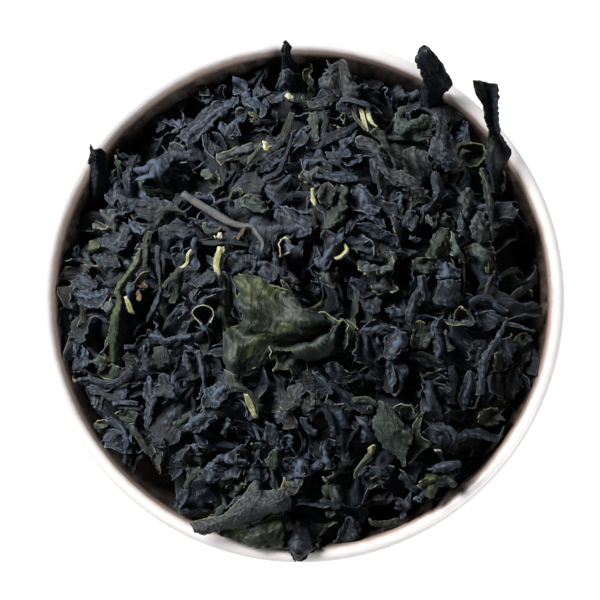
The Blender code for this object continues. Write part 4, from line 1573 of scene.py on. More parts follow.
def crinkled_like(sheet, points, width, crinkle):
    """The leaf with the crinkles of a grown sheet, without that sheet's broad form."""
    rows, columns = points.shape[:2]
    grown = resized(sheet, rows, columns).reshape(-1, 3)
    v, u = np.meshgrid(np.linspace(-1, 1, rows), np.linspace(-1, 1, columns), indexing="ij")
    broad = np.stack([np.ones_like(u), u, v, u * v, u**2, v**2], axis=-1).reshape(-1, 6)
    form = np.linalg.lstsq(broad, grown, rcond=None)[0]
    across, along = form[1], form[2]
    length = np.linalg.norm(np.diff(points, axis=0), axis=-1).sum(axis=0).mean()
    size = crinkle * min(1.0, 1.8 * width / length) * width / (2 * np.linalg.norm(across))
    own = np.stack([along, across, np.cross(across, along)], axis=-1)
    own /= np.linalg.norm(own, axis=0)
    crinkles = ((grown - broad @ form) @ own).reshape(rows, columns, 3) * size
    crinkles *= np.array([SIDEWAYS, SIDEWAYS, 1.0])
    crinkles *= np.minimum(1, row_widths(points) / width)[:, None, None]
    ahead = np.gradient(points, axis=0)
    ahead /= np.linalg.norm(ahead, axis=-1, keepdims=True) + 1e-12
    up = sheet_normals(points)
    sideways = np.cross(ahead, up)
    frames = np.stack([ahead, sideways, up], axis=-2)
    return points + np.einsum("rck,rckx->rcx", crinkles, frames)


def sheet_faces(rows, columns):
    """Triangles of a closed thin sheet, split alike on both faces, and its rim's."""
    index = np.arange(rows * columns).reshape(rows, columns)
    a, b = index[:-1, :-1].ravel(), index[:-1, 1:].ravel()
    c, d = index[1:, 1:].ravel(), index[1:, :-1].ravel()
    top = np.concatenate([np.stack([a, b, c], 1), np.stack([a, c, d], 1)])
    under = top[:, ::-1] + rows * columns
    loop = np.concatenate([index[0, :-1], index[:-1, -1], index[-1, :0:-1], index[:0:-1, 0]])
    after = np.roll(loop, -1)
    below, below_after = loop + rows * columns, after + rows * columns
    rim = np.concatenate([
        np.stack([loop, below, below_after], 1),
        np.stack([loop, below_after, after], 1),
    ])
    return np.concatenate([top, under]), rim


def join_sheets(name, leaves):
    """One mesh of closed thin sheets. A leaf is its finish, its points, its flat form
    and two numbers of its own, from 0 to 1, for its colour."""
    points, faces, rims, uvs, values = [], [], [], [], []
    start = 0
    finishes = sorted({leaf[0] for leaf in leaves})
    face_finish, rim_finish = [], []
    for number, (finish, grid, flat, tone, hue) in enumerate(leaves):
        rows, columns, _ = grid.shape
        normals = sheet_normals(grid)
        points += [
            (grid + normals * THICKNESS / 2).reshape(-1, 3),
            (grid - normals * THICKNESS / 2).reshape(-1, 3),
        ]
        both, rim = sheet_faces(rows, columns)
        faces.append(both + start)
        rims.append(rim + start)
        face_finish.append(np.full(len(both), finishes.index(finish)))
        rim_finish.append(np.full(len(rim), finishes.index(finish)))
        place = flat.reshape(-1, 2) + SHEET_SHIFT * (number + 1)
        uvs += [place, place]
        # how far each point stands out: the finishes paint crests paler and hollows darker, partly bloom,
        # partly painted highlight and shade
        stand = ridges(grid, normals).ravel()
        margin = np.clip(1 - edge_distance(flat) / MARGIN, 0, 1).ravel()
        for side in (1, -1):
            own = np.ones(rows * columns)
            values.append(np.stack([0.5 + 0.5 * side * stand, margin, tone * own, hue * own], 1))
        start += 2 * rows * columns
    obj = triangle_mesh(name, *map(np.concatenate, (points, faces, rims, uvs, values)))
    for finish in finishes:
        obj.data.materials.append(wakame_finish(finish))
    indices = np.concatenate(face_finish + rim_finish).astype(np.int32)
    obj.data.polygons.foreach_set("material_index", indices)
    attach(obj, "root")
    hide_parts("wakame")
    return obj


def triangle_mesh(name, points, faces, rims, uvs, values):
    """A mesh object from arrays, smooth but for its rims, with its colour layers."""
    mesh = bpy.data.meshes.new(name)
    corners = np.concatenate([faces, rims]).astype(np.int32)
    mesh.vertices.add(len(points))
    mesh.vertices.foreach_set("co", points.astype(np.float32).ravel())
    mesh.loops.add(corners.size)
    mesh.loops.foreach_set("vertex_index", corners.ravel())
    mesh.polygons.add(len(corners))
    mesh.polygons.foreach_set("loop_start", np.arange(0, corners.size, 3, dtype=np.int32))
    mesh.update(calc_edges=True)
    smooth = np.ones(len(corners), dtype=bool)
    smooth[len(faces):] = False
    mesh.polygons.foreach_set("use_smooth", smooth)
    layer = mesh.uv_layers.new(name="sheet")
    layer.data.foreach_set("uv", (uvs[corners.ravel()] * SHEET_SCALE).astype(np.float32).ravel())
    for column, layer_name in enumerate(("ridge", "margin", "tone", "hue")):
        attribute = mesh.attributes.new(layer_name, "FLOAT", "POINT")
        share = np.clip(values[:, column], 0, 1).astype(np.float32)
        attribute.data.foreach_set("value", share)
    obj = bpy.data.objects.new(name, mesh)
    bpy.context.scene.collection.objects.link(obj)
    return obj


# ---- shader maths ------------------------------------------------------------------------


class Value:
    """A shader socket on which Python's operators add Math nodes."""

    def __init__(self, shader, socket):
        self.shader = shader
        self.socket = socket

    def math(self, operation, *values):
        settings = {"operation": operation}
        return self.shader.node("ShaderNodeMath", settings, dict(enumerate(values)))

    def __add__(self, other):
        return self.math("ADD", self, other)

    __radd__ = __add__

    def __sub__(self, other):
        return self.math("SUBTRACT", self, other)

    def __rsub__(self, other):
        return self.math("SUBTRACT", other, self)

    def __mul__(self, other):
        return self.math("MULTIPLY", self, other)

    __rmul__ = __mul__


class Shader:
    """Builds one procedural material round its Principled BSDF."""

    def __init__(self, name, **constants):
        self.material = bpy.data.materials.new(name)
        self.material.use_nodes = True
        self.tree = self.material.node_tree
        self.surface = self.tree.nodes["Principled BSDF"]
        for socket, value in constants.items():
            self.surface.inputs[socket.replace("_", " ")].default_value = value

    def node(self, kind, settings, sockets, output=0):
        """Any node: its settings first, then the values or links of its sockets."""
        node = self.tree.nodes.new(kind)
        for key, value in settings.items():
            setattr(node, key, value)
        for key, value in sockets.items():
            if isinstance(value, Value):
                self.tree.links.new(value.socket, node.inputs[key])
            else:
                node.inputs[key].default_value = value
        return Value(self, node.outputs[output])

    def attribute(self, name):
        return self.node("ShaderNodeAttribute", {"attribute_name": name}, {}, "Fac")

    def place(self):
        return self.node("ShaderNodeTexCoord", {}, {}, "Object")

    def height(self):
        return self.node("ShaderNodeSeparateXYZ", {}, {"Vector": self.place()}, "Z")

    def noise(self, where, scale, detail=3.0, roughness=0.55, distortion=0.0):
        sockets = {
            "Vector": where,
            "Scale": scale,
            "Detail": detail,
            "Roughness": roughness,
            "Distortion": distortion,
        }
        return self.node("ShaderNodeTexNoise", {}, sockets, "Fac")

    def step(self, value, low, high):
        """0 below low, 1 above high and smooth between them."""
        sockets = {"Value": value, "From Min": low, "From Max": high}
        return self.node("ShaderNodeMapRange", {"interpolation_type": "SMOOTHSTEP"}, sockets)

    def stretched(self, where, scale):
        sockets = {"Vector": where, "Scale": scale}
        return self.node("ShaderNodeMapping", {}, sockets)

    def mix(self, first, second, share):
        """Colours mixed by a share; a colour is three numbers or a Value."""
        sockets = {
            "Factor": share,
            "A": (*first, 1.0) if isinstance(first, tuple) else first,
            "B": (*second, 1.0) if isinstance(second, tuple) else second,
        }
        node = self.tree.nodes.new("ShaderNodeMix")
        node.data_type = "RGBA"
        for key, value in sockets.items():
            kind = "RGBA" if key != "Factor" else "VALUE"
            socket = next(s for s in node.inputs if s.name == key and s.type == kind)
            if isinstance(value, Value):
                self.tree.links.new(value.socket, socket)
            else:
                socket.default_value = value
        result = next(s for s in node.outputs if s.type == "RGBA")
        return Value(self, result)

    def feed(self, **values):
        for socket, value in values.items():
            self.tree.links.new(value.socket, self.surface.inputs[socket.replace("_", " ")])
        return self.material

    def bump(self, height, distance, strength=1.0):
        sockets = {"Height": height, "Distance": distance, "Strength": strength}
        return self.node("ShaderNodeBump", {}, sockets, "Normal")


# ---- modelling by hand -------------------------------------------------------------------


def turned_body(name, profile, sectors):
    """A closed body spun from an outline of (radius, height) points."""
    bpy.ops.object.select_all(action="DESELECT")
    bpy.ops.mesh.primitive_plane_add(size=MM, location=(0, 0, 0))
    obj = bpy.context.object
    obj.name = obj.data.name = name
    bpy.ops.object.mode_set(mode="EDIT")
    bpy.ops.mesh.select_all(action="SELECT")
    bpy.ops.mesh.merge(type="CENTER")
    radius, height = profile[0]
    bpy.ops.transform.translate(value=(radius, 0, height))
    for (radius, height), (next_radius, next_height) in zip(profile, profile[1:]):
        step = (next_radius - radius, 0, next_height - height)
        bpy.ops.mesh.extrude_region_move(TRANSFORM_OT_translate={"value": step})
    bpy.ops.mesh.select_all(action="SELECT")
    bpy.ops.mesh.spin(steps=sectors, angle=TAU, center=(0, 0, 0), axis=(0, 0, 1))
    bpy.ops.mesh.select_all(action="SELECT")
    bpy.ops.mesh.remove_doubles(threshold=0.02 * MM)
    bpy.ops.mesh.normals_make_consistent(inside=False)
    bpy.ops.object.mode_set(mode="OBJECT")
    return obj


def positions(mesh):
    points = np.empty(len(mesh.vertices) * 3)
    mesh.vertices.foreach_get("co", points)
    return points.reshape(-1, 3)


def shade_smooth(mesh):
    mesh.polygons.foreach_set("use_smooth", np.ones(len(mesh.polygons), dtype=bool))


# ---- the bowl ----------------------------------------------------------------------------

BOWL_SECTORS = 224
WALL_STEPS = 26
LIP_STEPS = 12


def bowl_outline():
    """The wall from the axis underneath, over the lip, to the axis inside."""
    recess = FOOT_RADIUS - FOOT_WIDTH
    points = [
        (0.0, FOOT_HEIGHT * 0.8),
        (recess * 0.5, FOOT_HEIGHT * 0.8),
        (recess - 1.5 * MM, FOOT_HEIGHT * 0.78),
        (recess - 0.5 * MM, FOOT_HEIGHT * 0.6),
        (recess, 0.6 * MM),
        (recess + 0.2 * MM, 0.15 * MM),
        (recess + 0.6 * MM, 0.0),
        (FOOT_RADIUS - 0.6 * MM, 0.0),
        (FOOT_RADIUS - 0.2 * MM, 0.15 * MM),
        (FOOT_RADIUS, 0.6 * MM),
        (FOOT_RADIUS, FOOT_HEIGHT * 0.7),
    ]
    turns = [WALL_SWEEP * step / WALL_STEPS for step in range(WALL_STEPS + 1)]
    points += [wall_arc(OUTSIDE, turn) for turn in turns]
    for step in range(1, LIP_STEPS):
        angle = math.pi * step / LIP_STEPS
        radius = RIM_RADIUS - LIP_RADIUS + LIP_RADIUS * math.cos(angle)
        points.append((radius, LIP_HEIGHT + LIP_RADIUS * math.sin(angle)))
    points += [wall_arc(INSIDE, turn) for turn in reversed(turns)]
    return points + [(FLOOR_RADIUS * 0.5, FLOOR_HEIGHT), (0.0, FLOOR_HEIGHT)]


def depth_inside(points):
    """How far below the lip's crest each point is: above 0 inside, below 0 outside."""
    radius = np.hypot(points[:, 0], points[:, 1])
    height = points[:, 2]
    crest = RIM_RADIUS - LIP_RADIUS
    middle_of_wall = inside_radius(height + 1.5 * MM) + 1.0 * MM
    on_lip = height > LIP_HEIGHT - 0.01 * MM
    inner = np.where(on_lip, radius < crest, radius < middle_of_wall)
    inner &= height > FLOOR_HEIGHT - 0.01 * MM
    return np.where(inner, 1, -1) * (RIM - height)


def bowl_material(settings):
    """White porcelain outside, a dark glaze inside that breaks to tan at the lip."""
    glazes = {key: tuple(getattr(settings, key)) for key in type(settings).__annotations__}
    shader = Shader("bowl glaze", IOR=1.5, Coat_IOR=1.5)
    place = shader.place()
    depth = shader.attribute("depth") * 1000
    height = shader.height() * 1000
    cloud = shader.noise(place, 90.0, 4.0)
    speckle = shader.noise(place, 900.0, 2.0)
    run = shader.noise(shader.stretched(place, (1.0, 1.0, 0.12)), 420.0, 4.0)
    wavy = depth + (run - 0.5) * 1.1 + (cloud - 0.5) * 0.8
    white = shader.mix(glazes["white"], glazes["white_shade"], shader.step(cloud, 0.35, 0.75))
    dark = shader.mix(glazes["glaze"], glazes["glaze_light"], shader.step(run, 0.3, 0.75))
    dark = shader.mix(dark, glazes["glaze"], shader.step(wavy, 2.5, 14.0))
    lip = shader.step(height + (run - 0.5) * 6, RIM / MM - 12, RIM / MM - 3)
    white = shader.mix(white, glazes["stone"], 1 - lip)
    edge = shader.mix(glazes["tan_pale"], glazes["tan"], shader.step(wavy, 1.6, 3.2))
    colour = shader.mix(white, edge, shader.step(wavy, 0.1, 1.2))
    colour = shader.mix(colour, dark, shader.step(wavy, 2.2, 4.2))
    foot = (1 - shader.step(height, 0.4, 1.2)) * shader.step(speckle, 0.2, 0.5)
    colour = shader.mix(colour, glazes["bare_clay"], foot * 0.75)
    roughness = 0.16 + cloud * 0.1 + foot * 0.5 + shader.step(speckle, 0.62, 0.72) * 0.1
    relief = cloud * 0.5 + speckle * 0.12 + run * 0.15
    normal = shader.bump(relief, 0.00012, 0.35)
    return shader.feed(Base_Color=colour, Roughness=roughness, Normal=normal)


# ---- the wakame's finishes ---------------------------------------------------------------


def wakame_finish(name):
    """Dried seaweed: a dark skin under a pale bloom, with finer and paler margins; crests and margins carry
    painted highlight, hollows painted shade.
    """
    if name in bpy.data.materials:
        return bpy.data.materials[name]
    heap = bpy.context.scene.wakame_heap
    *colours, glow_amount, bloom_amount, margin_and_glint_amount, relief = FINISHES[name]
    body, glow, bloom, margin = (tuple(getattr(heap, key)) for key in colours)
    shader = Shader(name, Sheen_Weight=0.1, Sheen_Roughness=0.5, Sheen_Tint=(0.6, 0.75, 1.0, 1.0))
    sheet = shader.node("ShaderNodeUVMap", {"uv_map": "sheet"}, {})
    ridge = shader.attribute("ridge")
    edge = shader.attribute("margin")
    tone = shader.attribute("tone")
    hue = shader.attribute("hue")
    patches = shader.noise(sheet, 24.0, 3.0, 0.6)
    clouds = shader.noise(shader.stretched(sheet, (1.0, 0.6, 1.0)), 19.0, 2.0, 0.5, 0.6)
    grain = shader.noise(sheet, 210.0, 3.0, 0.7)
    creases = shader.noise(shader.stretched(sheet, (1.0, 0.2, 1.0)), 95.0, 4.0, 0.62, 0.8)
    veins = shader.noise(shader.stretched(sheet, (1.0, 0.13, 1.0)), 240.0, 3.0, 0.6, 0.3)
    dark = tuple(0.45 * share for share in body)
    skin = shader.mix(dark, body, shader.step(hue * 0.5 + patches * 0.8, 0.4, 0.9))
    lit = clouds + (hue - 0.5) * 0.25 + edge * 0.12 + (veins - 0.5) * 0.25
    unlit = glow_amount * 0.4
    skin = shader.mix(skin, glow, shader.step(lit, 0.78 - unlit, 0.95 - unlit))
    # The bloom is thicker on crests and thinner in hollows: partly real bloom, partly painted highlight and
    # painted shade.
    bloom_and_ridge_shade = (patches - 0.5) * 1.8 + (ridge - 0.5) * 1.5 + (tone - 0.5) * 0.8
    bloom_and_ridge_shade = bloom_and_ridge_shade + (creases - 0.5) * 1.3 + (veins - 0.5) * (2.4 * relief) + (grain - 0.5) * 0.9
    bloom_and_ridge_shade = shader.step(bloom_and_ridge_shade + bloom_amount, 0.05, 1.3)
    colour = shader.mix(skin, bloom, bloom_and_ridge_shade)
    # Paler margins: partly thinner tissue, partly a painted edge highlight.
    rim = edge + (creases - 0.5) * 0.7 + (tone - 0.5) * 0.3
    rim = shader.step(rim, 1.0 - margin_and_glint_amount, 1.3 - margin_and_glint_amount * 0.5)
    colour = shader.mix(colour, margin, rim * 0.85)
    roughness = 0.52 + bloom_and_ridge_shade * 0.28 + (grain - 0.5) * 0.2
    normal = shader.bump(creases * 0.7 + veins * 0.6 + grain * 0.25, 0.0009, relief)
    return shader.feed(Base_Color=colour, Roughness=roughness, Normal=normal)


# A finish is the names of its skin, lit patches, bloom and margin among the heap's
# colours, then how much of the patches, the bloom, the margin and the relief shows.
# The margin colours are partly a painted edge highlight.
FINISHES = {
    "slate": ("ink", "deep_olive", "slate", "frost", 0.1, 0.12, 0.35, 0.9),
    "dusk": ("ink", "deep_olive", "slate", "frost", 0.2, -0.12, 0.35, 0.9),
    "ink": ("ink", "deep_olive", "slate", "frost", 0.15, -0.3, 0.2, 0.8),
    "moss": ("moss", "deep_olive", "teal", "cream", 0.35, 0.0, 0.35, 0.9),
    "olive": ("moss", "leaf_green", "teal", "cream", 0.75, -0.15, 0.4, 0.4),
    "umber": ("umber", "deep_olive", "ash", "cream", 0.2, -0.05, 0.35, 0.9),
    "ash": ("umber", "deep_olive", "ash", "cream", 0.2, 0.3, 0.45, 0.8),
    "cup": ("ink", "deep_olive", "slate", "pale_cream", 0.0, 0.4, 0.9, 0.5),
    "tip": ("ink", "leaf_green", "slate", "leaf_green", 0.25, -0.5, 0.35, 0.6),
    "stalk": ("umber", "ash", "bark", "ash", 0.5, 0.5, 0.2, 0.9),
    "lime": ("leaf_green", "straw", "teal", "cream", 0.35, 0.1, 0.4, 0.5),
    "cream": ("straw", "pale_cream", "pale_cream", "pale_cream", 0.4, 0.3, 0.5, 0.5),
    "ochre": ("umber", "rust", "rust", "cream", 0.8, 0.3, 0.3, 0.5),
}


def core_material():
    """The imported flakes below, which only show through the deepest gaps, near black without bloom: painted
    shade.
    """
    shader = Shader("packed wakame", Roughness=0.8)
    place = shader.place()
    crumbs = shader.noise(place, 420.0, 4.0, 0.7)
    colour = shader.mix((0.002, 0.003, 0.004), (0.014, 0.018, 0.02), shader.step(crumbs, 0.4, 0.75))
    return shader.feed(Base_Color=colour, Normal=shader.bump(crumbs, 0.0008))


# ---- arranging the heap ------------------------------------------------------------------

GOLDEN_ANGLE = math.pi * (3.0 - math.sqrt(5.0))
LIP_CLEAR = 0.2 * MM  # above the lip by this, a leaf may reach out over it
SINK_LIMIT = 7.0 * MM  # a flake that would have to go further under a leaf is left out
FINE_COLUMNS = 21  # a sheet with as many points across also gets fine wrinkles
UNDER_LEAVES = 0.7 * MM  # how far the loose flakes stay below the leaves that stand out

# Each layer of loose flakes has the setting that counts it, how far out it reaches, its
# sheets' sizes, their lean, the share of each that sinks in, their rows and columns, how
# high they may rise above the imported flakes, and the share that has each finish.
LOOSE_FINISHES = ("slate", "dusk", "ink", "moss", "umber", "olive")
# The lower layers are mostly ink, so the heap is darker deeper down: painted shade.
LAYERS = (
    ("under", 52 * MM, (0.85, 1.2), 0.5, 0.5, (15, 9), 3.5 * MM,
     (0.0, 0.05, 0.95, 0.0, 0.0, 0.0)),
    ("under", 53 * MM, (0.8, 1.15), 0.6, 0.4, (21, 13), 5.0 * MM,
     (0.03, 0.2, 0.67, 0.05, 0.05, 0.0)),
    ("upper", 53 * MM, (0.75, 1.1), 0.6, 0.3, (33, 29), 7.0 * MM,
     (0.25, 0.3, 0.25, 0.1, 0.07, 0.03)),
    ("small", 52 * MM, (0.3, 0.6), 0.9, 0.3, (21, 13), 8.0 * MM,
     (0.35, 0.2, 0.1, 0.18, 0.1, 0.07)),
)


def turn_matrix(lean, way, spin):
    """Tilts by lean towards a level direction, after spinning about the vertical."""
    tilt = Matrix.Rotation(lean, 3, Vector((math.cos(way), math.sin(way), 0)))
    return np.array(tilt @ Matrix.Rotation(spin, 3, "Z"))


def inside_wall(points, gap=WALL_GAP, over=math.inf):
    """Points drawn in towards the axis until they clear the bowl, up to a height."""
    reach = np.hypot(points[..., 0], points[..., 1])
    limit = np.where(points[..., 2] < over, inside_radius(points[..., 2]) - gap, math.inf)
    share = np.minimum(1.0, limit / np.maximum(reach, 1e-6))
    points = points.copy()
    points[..., :2] *= share[..., None]
    return points


def away_from_wall(points, gap=WALL_GAP):
    """The whole sheet moved in until hardly any of it would cross the wall."""
    for _ in range(3):
        reach = np.hypot(points[..., 0], points[..., 1])
        over = reach - inside_radius(points[..., 2]) + gap
        worst = np.quantile(over, 0.97)
        if worst <= 0:
            break
        middle = points.reshape(-1, 3).mean(axis=0)
        outward = middle[:2] / max(np.hypot(*middle[:2]), 1e-6)
        points = points.copy()
        points[..., :2] -= outward * worst
    return points


def scatter(rng, ground, sheets, count, reach, sizes, lean, sunk, detail, ceiling):
    """One layer of sheets over the heap, evenly spread, each let down on the last."""
    rows, columns = detail
    shift = rng.uniform(0, TAU)
    order = rng.permutation(count)
    layer = []
    for i in order:
        radius = reach * math.sqrt((i + 0.5) / count) + rng.normal(0, 1.8) * MM
        angle = shift + i * GOLDEN_ANGLE + rng.normal(0, 0.06)
        sheet, flat = sheets[rng.integers(len(sheets))]
        size = rng.uniform(*sizes)
        shape = np.array([rng.choice((-1, 1)), 1, 1]) * rng.uniform(0.82, 1.15, 3) * size
        turn = turn_matrix(abs(rng.normal(0, lean)), rng.uniform(0, TAU), rng.uniform(0, TAU))
        points = (resized(sheet, rows, columns) * shape) @ turn.T
        x, y = radius * math.cos(angle), radius * math.sin(angle)
        points = points + np.array([x, y, core_height(x, y)])
        for _ in range(2):
            points = away_from_wall(ground.drop(points, sunk))
        top = core_height(x, y) + ceiling
        points[..., 2] -= max(0.0, np.quantile(points[..., 2], 0.9) - top)
        points = inside_wall(points)
        over = ground.over_lid(points)
        if over > SINK_LIMIT:
            continue
        points[..., 2] -= max(0.0, over)
        flat = resized(flat, rows, columns) * size
        if columns >= FINE_COLUMNS:
            points = wrinkled(rng, points, flat, *FLAKE_FORM)
        ground.cover(points)
        layer.append((points, flat, rng.random(), rng.random()))
    return layer


@functools.cache
def standing_leaves():
    """The leaves that stand out, by piece: (finish, points, flat form, tone, hue)."""
    rng = np.random.default_rng(LEAF_SEED)
    sheets = crinkled_sheets()
    nets = [
        (name, finish, leaf_net(*notes), SMOOTHER.get(name, LEAF_CRINKLE))
        for name, finish, *notes in LEAVES
    ]
    nets += [
        (f"leaves_{finish}", finish, upper_net(*notes), SMOOTHER.get(finish, UPPER_CRINKLE))
        for finish, *notes in UPPER_LEAVES
    ]
    pieces = {}
    for name, finish, net, crinkle in nets:
        sheet, _ = sheets[rng.integers(len(sheets))]
        points, flat = shaped_sheet(rng, net, sheet, crinkle)
        points = inside_wall(points, over=RIM + LIP_CLEAR)
        leaf = (finish, points, flat, rng.uniform(0.25, 0.75), rng.uniform(0.2, 0.8))
        pieces.setdefault(name, []).append(leaf)
    return pieces


# ---- settings ----------------------------------------------------------------------------


def colour_setting(name, description, default):
    return FloatVectorProperty(
        name=name, description=description, default=default,
        size=3, min=0.0, max=1.0, subtype="COLOR",
    )


def power_setting(name, description, default):
    return FloatProperty(
        name=name, description=description, default=default, min=0.0, unit="POWER",
    )


class BowlSettings(bpy.types.PropertyGroup):
    """The bowl's glazes."""

    white: colour_setting("White", "Porcelain outside and on the lip", (0.90, 0.87, 0.86))
    white_shade: colour_setting("White shade", "The porcelain's darker clouds", (0.86, 0.82, 0.81))
    stone: colour_setting("Stone", "The outside below the lip", (0.54, 0.51, 0.485))
    tan_pale: colour_setting("Pale tan", "Where the glaze thins at the lip", (0.68, 0.51, 0.44))
    tan: colour_setting("Tan", "Just below the lip's inner edge", (0.38, 0.29, 0.25))
    glaze: colour_setting("Glaze", "The dark glaze inside", (0.036, 0.028, 0.0245))
    glaze_light: colour_setting("Glaze streaks", "Thinner runs of it", (0.170, 0.130, 0.112))
    bare_clay: colour_setting("Bare clay", "The foot ring's unglazed base", (0.62, 0.54, 0.46))


class HeapSettings(bpy.types.PropertyGroup):
    """The wakame's amounts and colours."""

    seed: IntProperty(name="Seed", description="Another number gives another heap", default=7)
    under: IntProperty(name="Under", description="Sheets in each lower layer", default=100, min=1)
    upper: IntProperty(name="Upper", description="Sheets in the top layer", default=80, min=1)
    small: IntProperty(name="Small", description="Small curls on top", default=60, min=0)
    ink: colour_setting("Ink", "Blue-black skin", (0.0045, 0.0075, 0.0125))
    slate: colour_setting("Slate", "The pale bloom on it", (0.078, 0.112, 0.164))
    frost: colour_setting("Frost", "Pale margins of the blue flakes", (0.165, 0.212, 0.250))
    # The margin colours frost, cream and pale cream are partly a painted edge highlight.
    moss: colour_setting("Moss", "Greener skin", (0.016, 0.024, 0.010))
    deep_olive: colour_setting("Deep olive", "Thin places of dark flakes", (0.022, 0.030, 0.005))
    leaf_green: colour_setting("Leaf green", "Thin places of green flakes", (0.044, 0.058, 0.010))
    teal: colour_setting("Teal", "Bloom on greener skin", (0.062, 0.100, 0.096))
    umber: colour_setting("Umber", "Browner skin", (0.016, 0.015, 0.012))
    ash: colour_setting("Ash", "Bloom on browner skin", (0.082, 0.096, 0.102))
    bark: colour_setting("Bark", "Bloom on the stalk", (0.13, 0.13, 0.125))
    rust: colour_setting("Rust", "Brown crumbs", (0.15, 0.08, 0.03))
    cream: colour_setting("Cream", "Pale margins of the green flakes", (0.34, 0.35, 0.20))
    straw: colour_setting("Straw", "Pale stems", (0.36, 0.36, 0.12))
    pale_cream: colour_setting("Pale cream", "The palest margins", (0.62, 0.60, 0.42))


class StageSettings(bpy.types.PropertyGroup):
    """The floor, the lights and the camera."""

    floor: colour_setting("Floor", "The floor's colour", (0.97, 0.97, 0.97))
    key: power_setting("Key light", "The window light's power", 16.0)
    bowl_key: power_setting("Key light on the bowl", "The window light's power on the bowl", 12.5)
    fill: power_setting("Fill light", "A light on the bowl alone", 4.2)
    width: FloatProperty(
        name="View width", description="What the camera sees across at the lip",
        default=VIEW_WIDTH, min=0.01, unit="LENGTH",
    )


# ---- making the pieces -------------------------------------------------------------------


class WAKAME_OT_bowl(bpy.types.Operator):
    """Turn the bowl and glaze it"""

    bl_idname = "wakame.bowl"
    bl_label = "Bowl"

    def execute(self, context):
        bowl = turned_body("glazed_bowl", bowl_outline(), BOWL_SECTORS)
        mesh = bowl.data
        shade_smooth(mesh)
        attribute = mesh.attributes.new("depth", "FLOAT", "POINT")
        attribute.data.foreach_set("value", depth_inside(positions(mesh)).astype(np.float32))
        mesh.materials.append(bowl_material(context.scene.wakame_bowl))
        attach(bowl, "root")
        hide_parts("bowl")
        return {"FINISHED"}


class WAKAME_OT_core(bpy.types.Operator):
    """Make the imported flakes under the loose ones"""

    bl_idname = "wakame.core"
    bl_label = "Packed core"

    def execute(self, context):
        floor = FLOOR_HEIGHT + WALL_GAP
        edge = RIM - CORE_EDGE_DROP - CORE_EDGE_SWING
        sides = np.linspace(floor, edge, 9)
        outline = [(0.0, floor)]
        outline += [(float(inside_radius(z - 2 * WALL_GAP) - WALL_GAP), float(z)) for z in sides]
        mouth = outline[-1][0]
        rings = np.linspace(0.985, 0.02, CORE_RINGS)
        outline += [(mouth * share, edge + MM) for share in rings]
        outline.append((0.0, edge + MM))
        core = turned_body("packed_core", outline, CORE_SECTORS)
        mesh = core.data
        points = positions(mesh)
        top = points[:, 2] > edge + 0.5 * MM
        x, y = points[top, 0], points[top, 1]
        rough = np.sin(x / (1.1 * MM)) * np.sin(y / (1.3 * MM) + 2 * np.sin(x / (2.3 * MM)))
        points[top, 2] = core_height(x, y) - CORE_SUNK + CORE_ROUGH * rough
        mesh.vertices.foreach_set("co", points.ravel())
        shade_smooth(mesh)
        mesh.update()
        mesh.materials.append(core_material())
        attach(core, "root")
        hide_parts("wakame")
        return {"FINISHED"}


class WAKAME_OT_leaves(bpy.types.Operator):
    """Shape the leaves and strips that stand out of the heap"""

    bl_idname = "wakame.leaves"
    bl_label = "Leaves that stand out"

    def execute(self, context):
        for name, leaves in standing_leaves().items():
            join_sheets(name, leaves)
        return {"FINISHED"}


class WAKAME_OT_flakes(bpy.types.Operator):
    """Crinkle the loose flakes and heap them up, layer by layer"""

    bl_idname = "wakame.flakes"
    bl_label = "Loose flakes"

    def execute(self, context):
        heap = context.scene.wakame_heap
        rng = np.random.default_rng(heap.seed)
        sheets = crinkled_sheets()
        ground = Ground()
        for leaves in standing_leaves().values():
            for _, points, _, _, _ in leaves:
                ground.shelter(points, UNDER_LEAVES)
        layers = [
            scatter(rng, ground, sheets, getattr(heap, amount), *form)
            for amount, *form, _ in LAYERS
        ]
        kinds = {}
        for layer, (amount, *_, shares) in zip(layers, LAYERS):
            for leaf in layer:
                finish = rng.choice(LOOSE_FINISHES, p=shares)
                # ink flakes of the under layers, put mostly deep in the heap as painted shade
                kind = "deep" if (amount, finish) == ("under", "ink") else finish
                kinds.setdefault(kind, []).append((finish, *leaf))
        for kind, leaves in kinds.items():
            join_sheets(f"flakes_{kind}", leaves)
        return {"FINISHED"}


WINDOW = (-0.56, 0.46, 0.62)  # where the window light hangs
FILL = (0.5, -0.45, 0.5)
SKY = (0.8, 0.9, 1.0, 1.0)
FLOOR_SHADE = (0.1, 0.1, 0.1, 1.0)  # what the floor shows of the lights, over its own glow


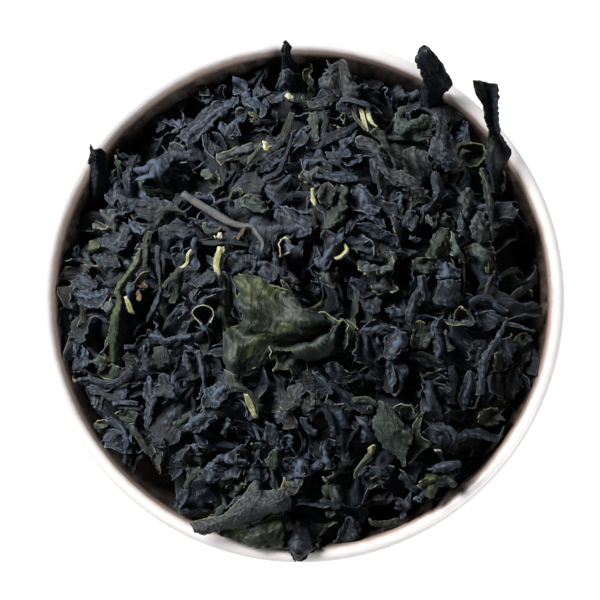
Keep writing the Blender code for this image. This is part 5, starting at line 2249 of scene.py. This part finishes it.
class WAKAME_OT_stage(bpy.types.Operator):
    """Lay the floor, hang the lights and set up the camera"""

    bl_idname = "wakame.stage"
    bl_label = "Stage"

    def execute(self, context):
        stage = context.scene.wakame_stage
        bpy.ops.object.select_all(action="DESELECT")
        bpy.ops.mesh.primitive_plane_add(size=4.0, location=(0, 0, 0))
        floor = bpy.context.object
        floor.name = "floor"
        shader = Shader(
            "pale floor", Roughness=0.9, Base_Color=FLOOR_SHADE,
            Emission_Color=(*stage.floor, 1.0), Emission_Strength=1.2,
        )
        floor.data.materials.append(shader.material)
        aim = Vector((0, 0, RIM))
        bowl = bpy.data.objects["glazed_bowl"]
        others = [piece for piece in context.scene.objects if piece.type == "MESH"]
        others.remove(bowl)
        add_light("window", WINDOW, 0.4, stage.key, aim, others)
        add_light("window on the bowl", WINDOW, 0.4, stage.bowl_key, aim, (bowl,))
        add_light("fill on the bowl", FILL, 0.5, stage.fill, aim, (bowl,))
        world = bpy.data.worlds.new("studio")
        world.use_nodes = True
        sky = world.node_tree.nodes["Background"].inputs
        sky["Color"].default_value = SKY
        sky["Strength"].default_value = 0.035
        context.scene.world = world
        context.scene.view_settings.view_transform = "Standard"
        camera = bpy.data.objects.new("camera", bpy.data.cameras.new("camera"))
        context.scene.collection.objects.link(camera)
        turn = Matrix((VIEW_RIGHT, VIEW_UP, VIEW_BACK)).transposed().to_4x4()
        camera.matrix_world = Matrix.Translation(Vector(EYE)) @ turn
        camera.data.lens = camera.data.sensor_width * VIEW_DISTANCE / stage.width
        camera.data.clip_start = 0.01
        context.scene.camera = camera
        return {"FINISHED"}


def add_light(name, place, size, power, aim, lit):
    """A square soft light that faces the bowl and lights these pieces alone."""
    light = bpy.data.objects.new(name, bpy.data.lights.new(name, "AREA"))
    bpy.context.scene.collection.objects.link(light)
    light.location = place
    light.rotation_euler = (aim - Vector(place)).to_track_quat("-Z", "Y").to_euler()
    light.data.size = size
    light.data.energy = power
    light.light_linking.receiver_collection = bpy.data.collections.new(name)
    for piece in lit:
        light.light_linking.receiver_collection.objects.link(piece)


class WAKAME_PT_panel(bpy.types.Panel):
    """Lists the pieces with their settings"""

    bl_idname = "WAKAME_PT_panel"
    bl_label = "Bowl of wakame"
    bl_space_type = "VIEW_3D"
    bl_region_type = "UI"
    bl_category = "Wakame"

    def draw(self, context):
        for group in SETTINGS:
            column = self.layout.column()
            settings = getattr(context.scene, group)
            for key in type(settings).__annotations__:
                column.prop(settings, key)
        for operator in OPERATORS:
            self.layout.operator(operator.bl_idname)


SETTINGS = {
    "wakame_bowl": BowlSettings,
    "wakame_heap": HeapSettings,
    "wakame_stage": StageSettings,
}
OPERATORS = (
    WAKAME_OT_bowl, WAKAME_OT_core, WAKAME_OT_leaves, WAKAME_OT_flakes, WAKAME_OT_stage,
)


def register():
    for group, settings in SETTINGS.items():
        bpy.utils.register_class(settings)
        setattr(bpy.types.Scene, group, PointerProperty(type=settings))
    for made in (*OPERATORS, WAKAME_PT_panel):
        bpy.utils.register_class(made)


def unregister():
    for made in reversed((*OPERATORS, WAKAME_PT_panel)):
        bpy.utils.unregister_class(made)
    for group, settings in SETTINGS.items():
        delattr(bpy.types.Scene, group)
        bpy.utils.unregister_class(settings)


def main():
    register()
    bpy.ops.wakame.bowl()
    bpy.ops.wakame.core()
    bpy.ops.wakame.leaves()
    bpy.ops.wakame.flakes()
    bpy.ops.wakame.stage()


if __name__ == "__main__":
    main()
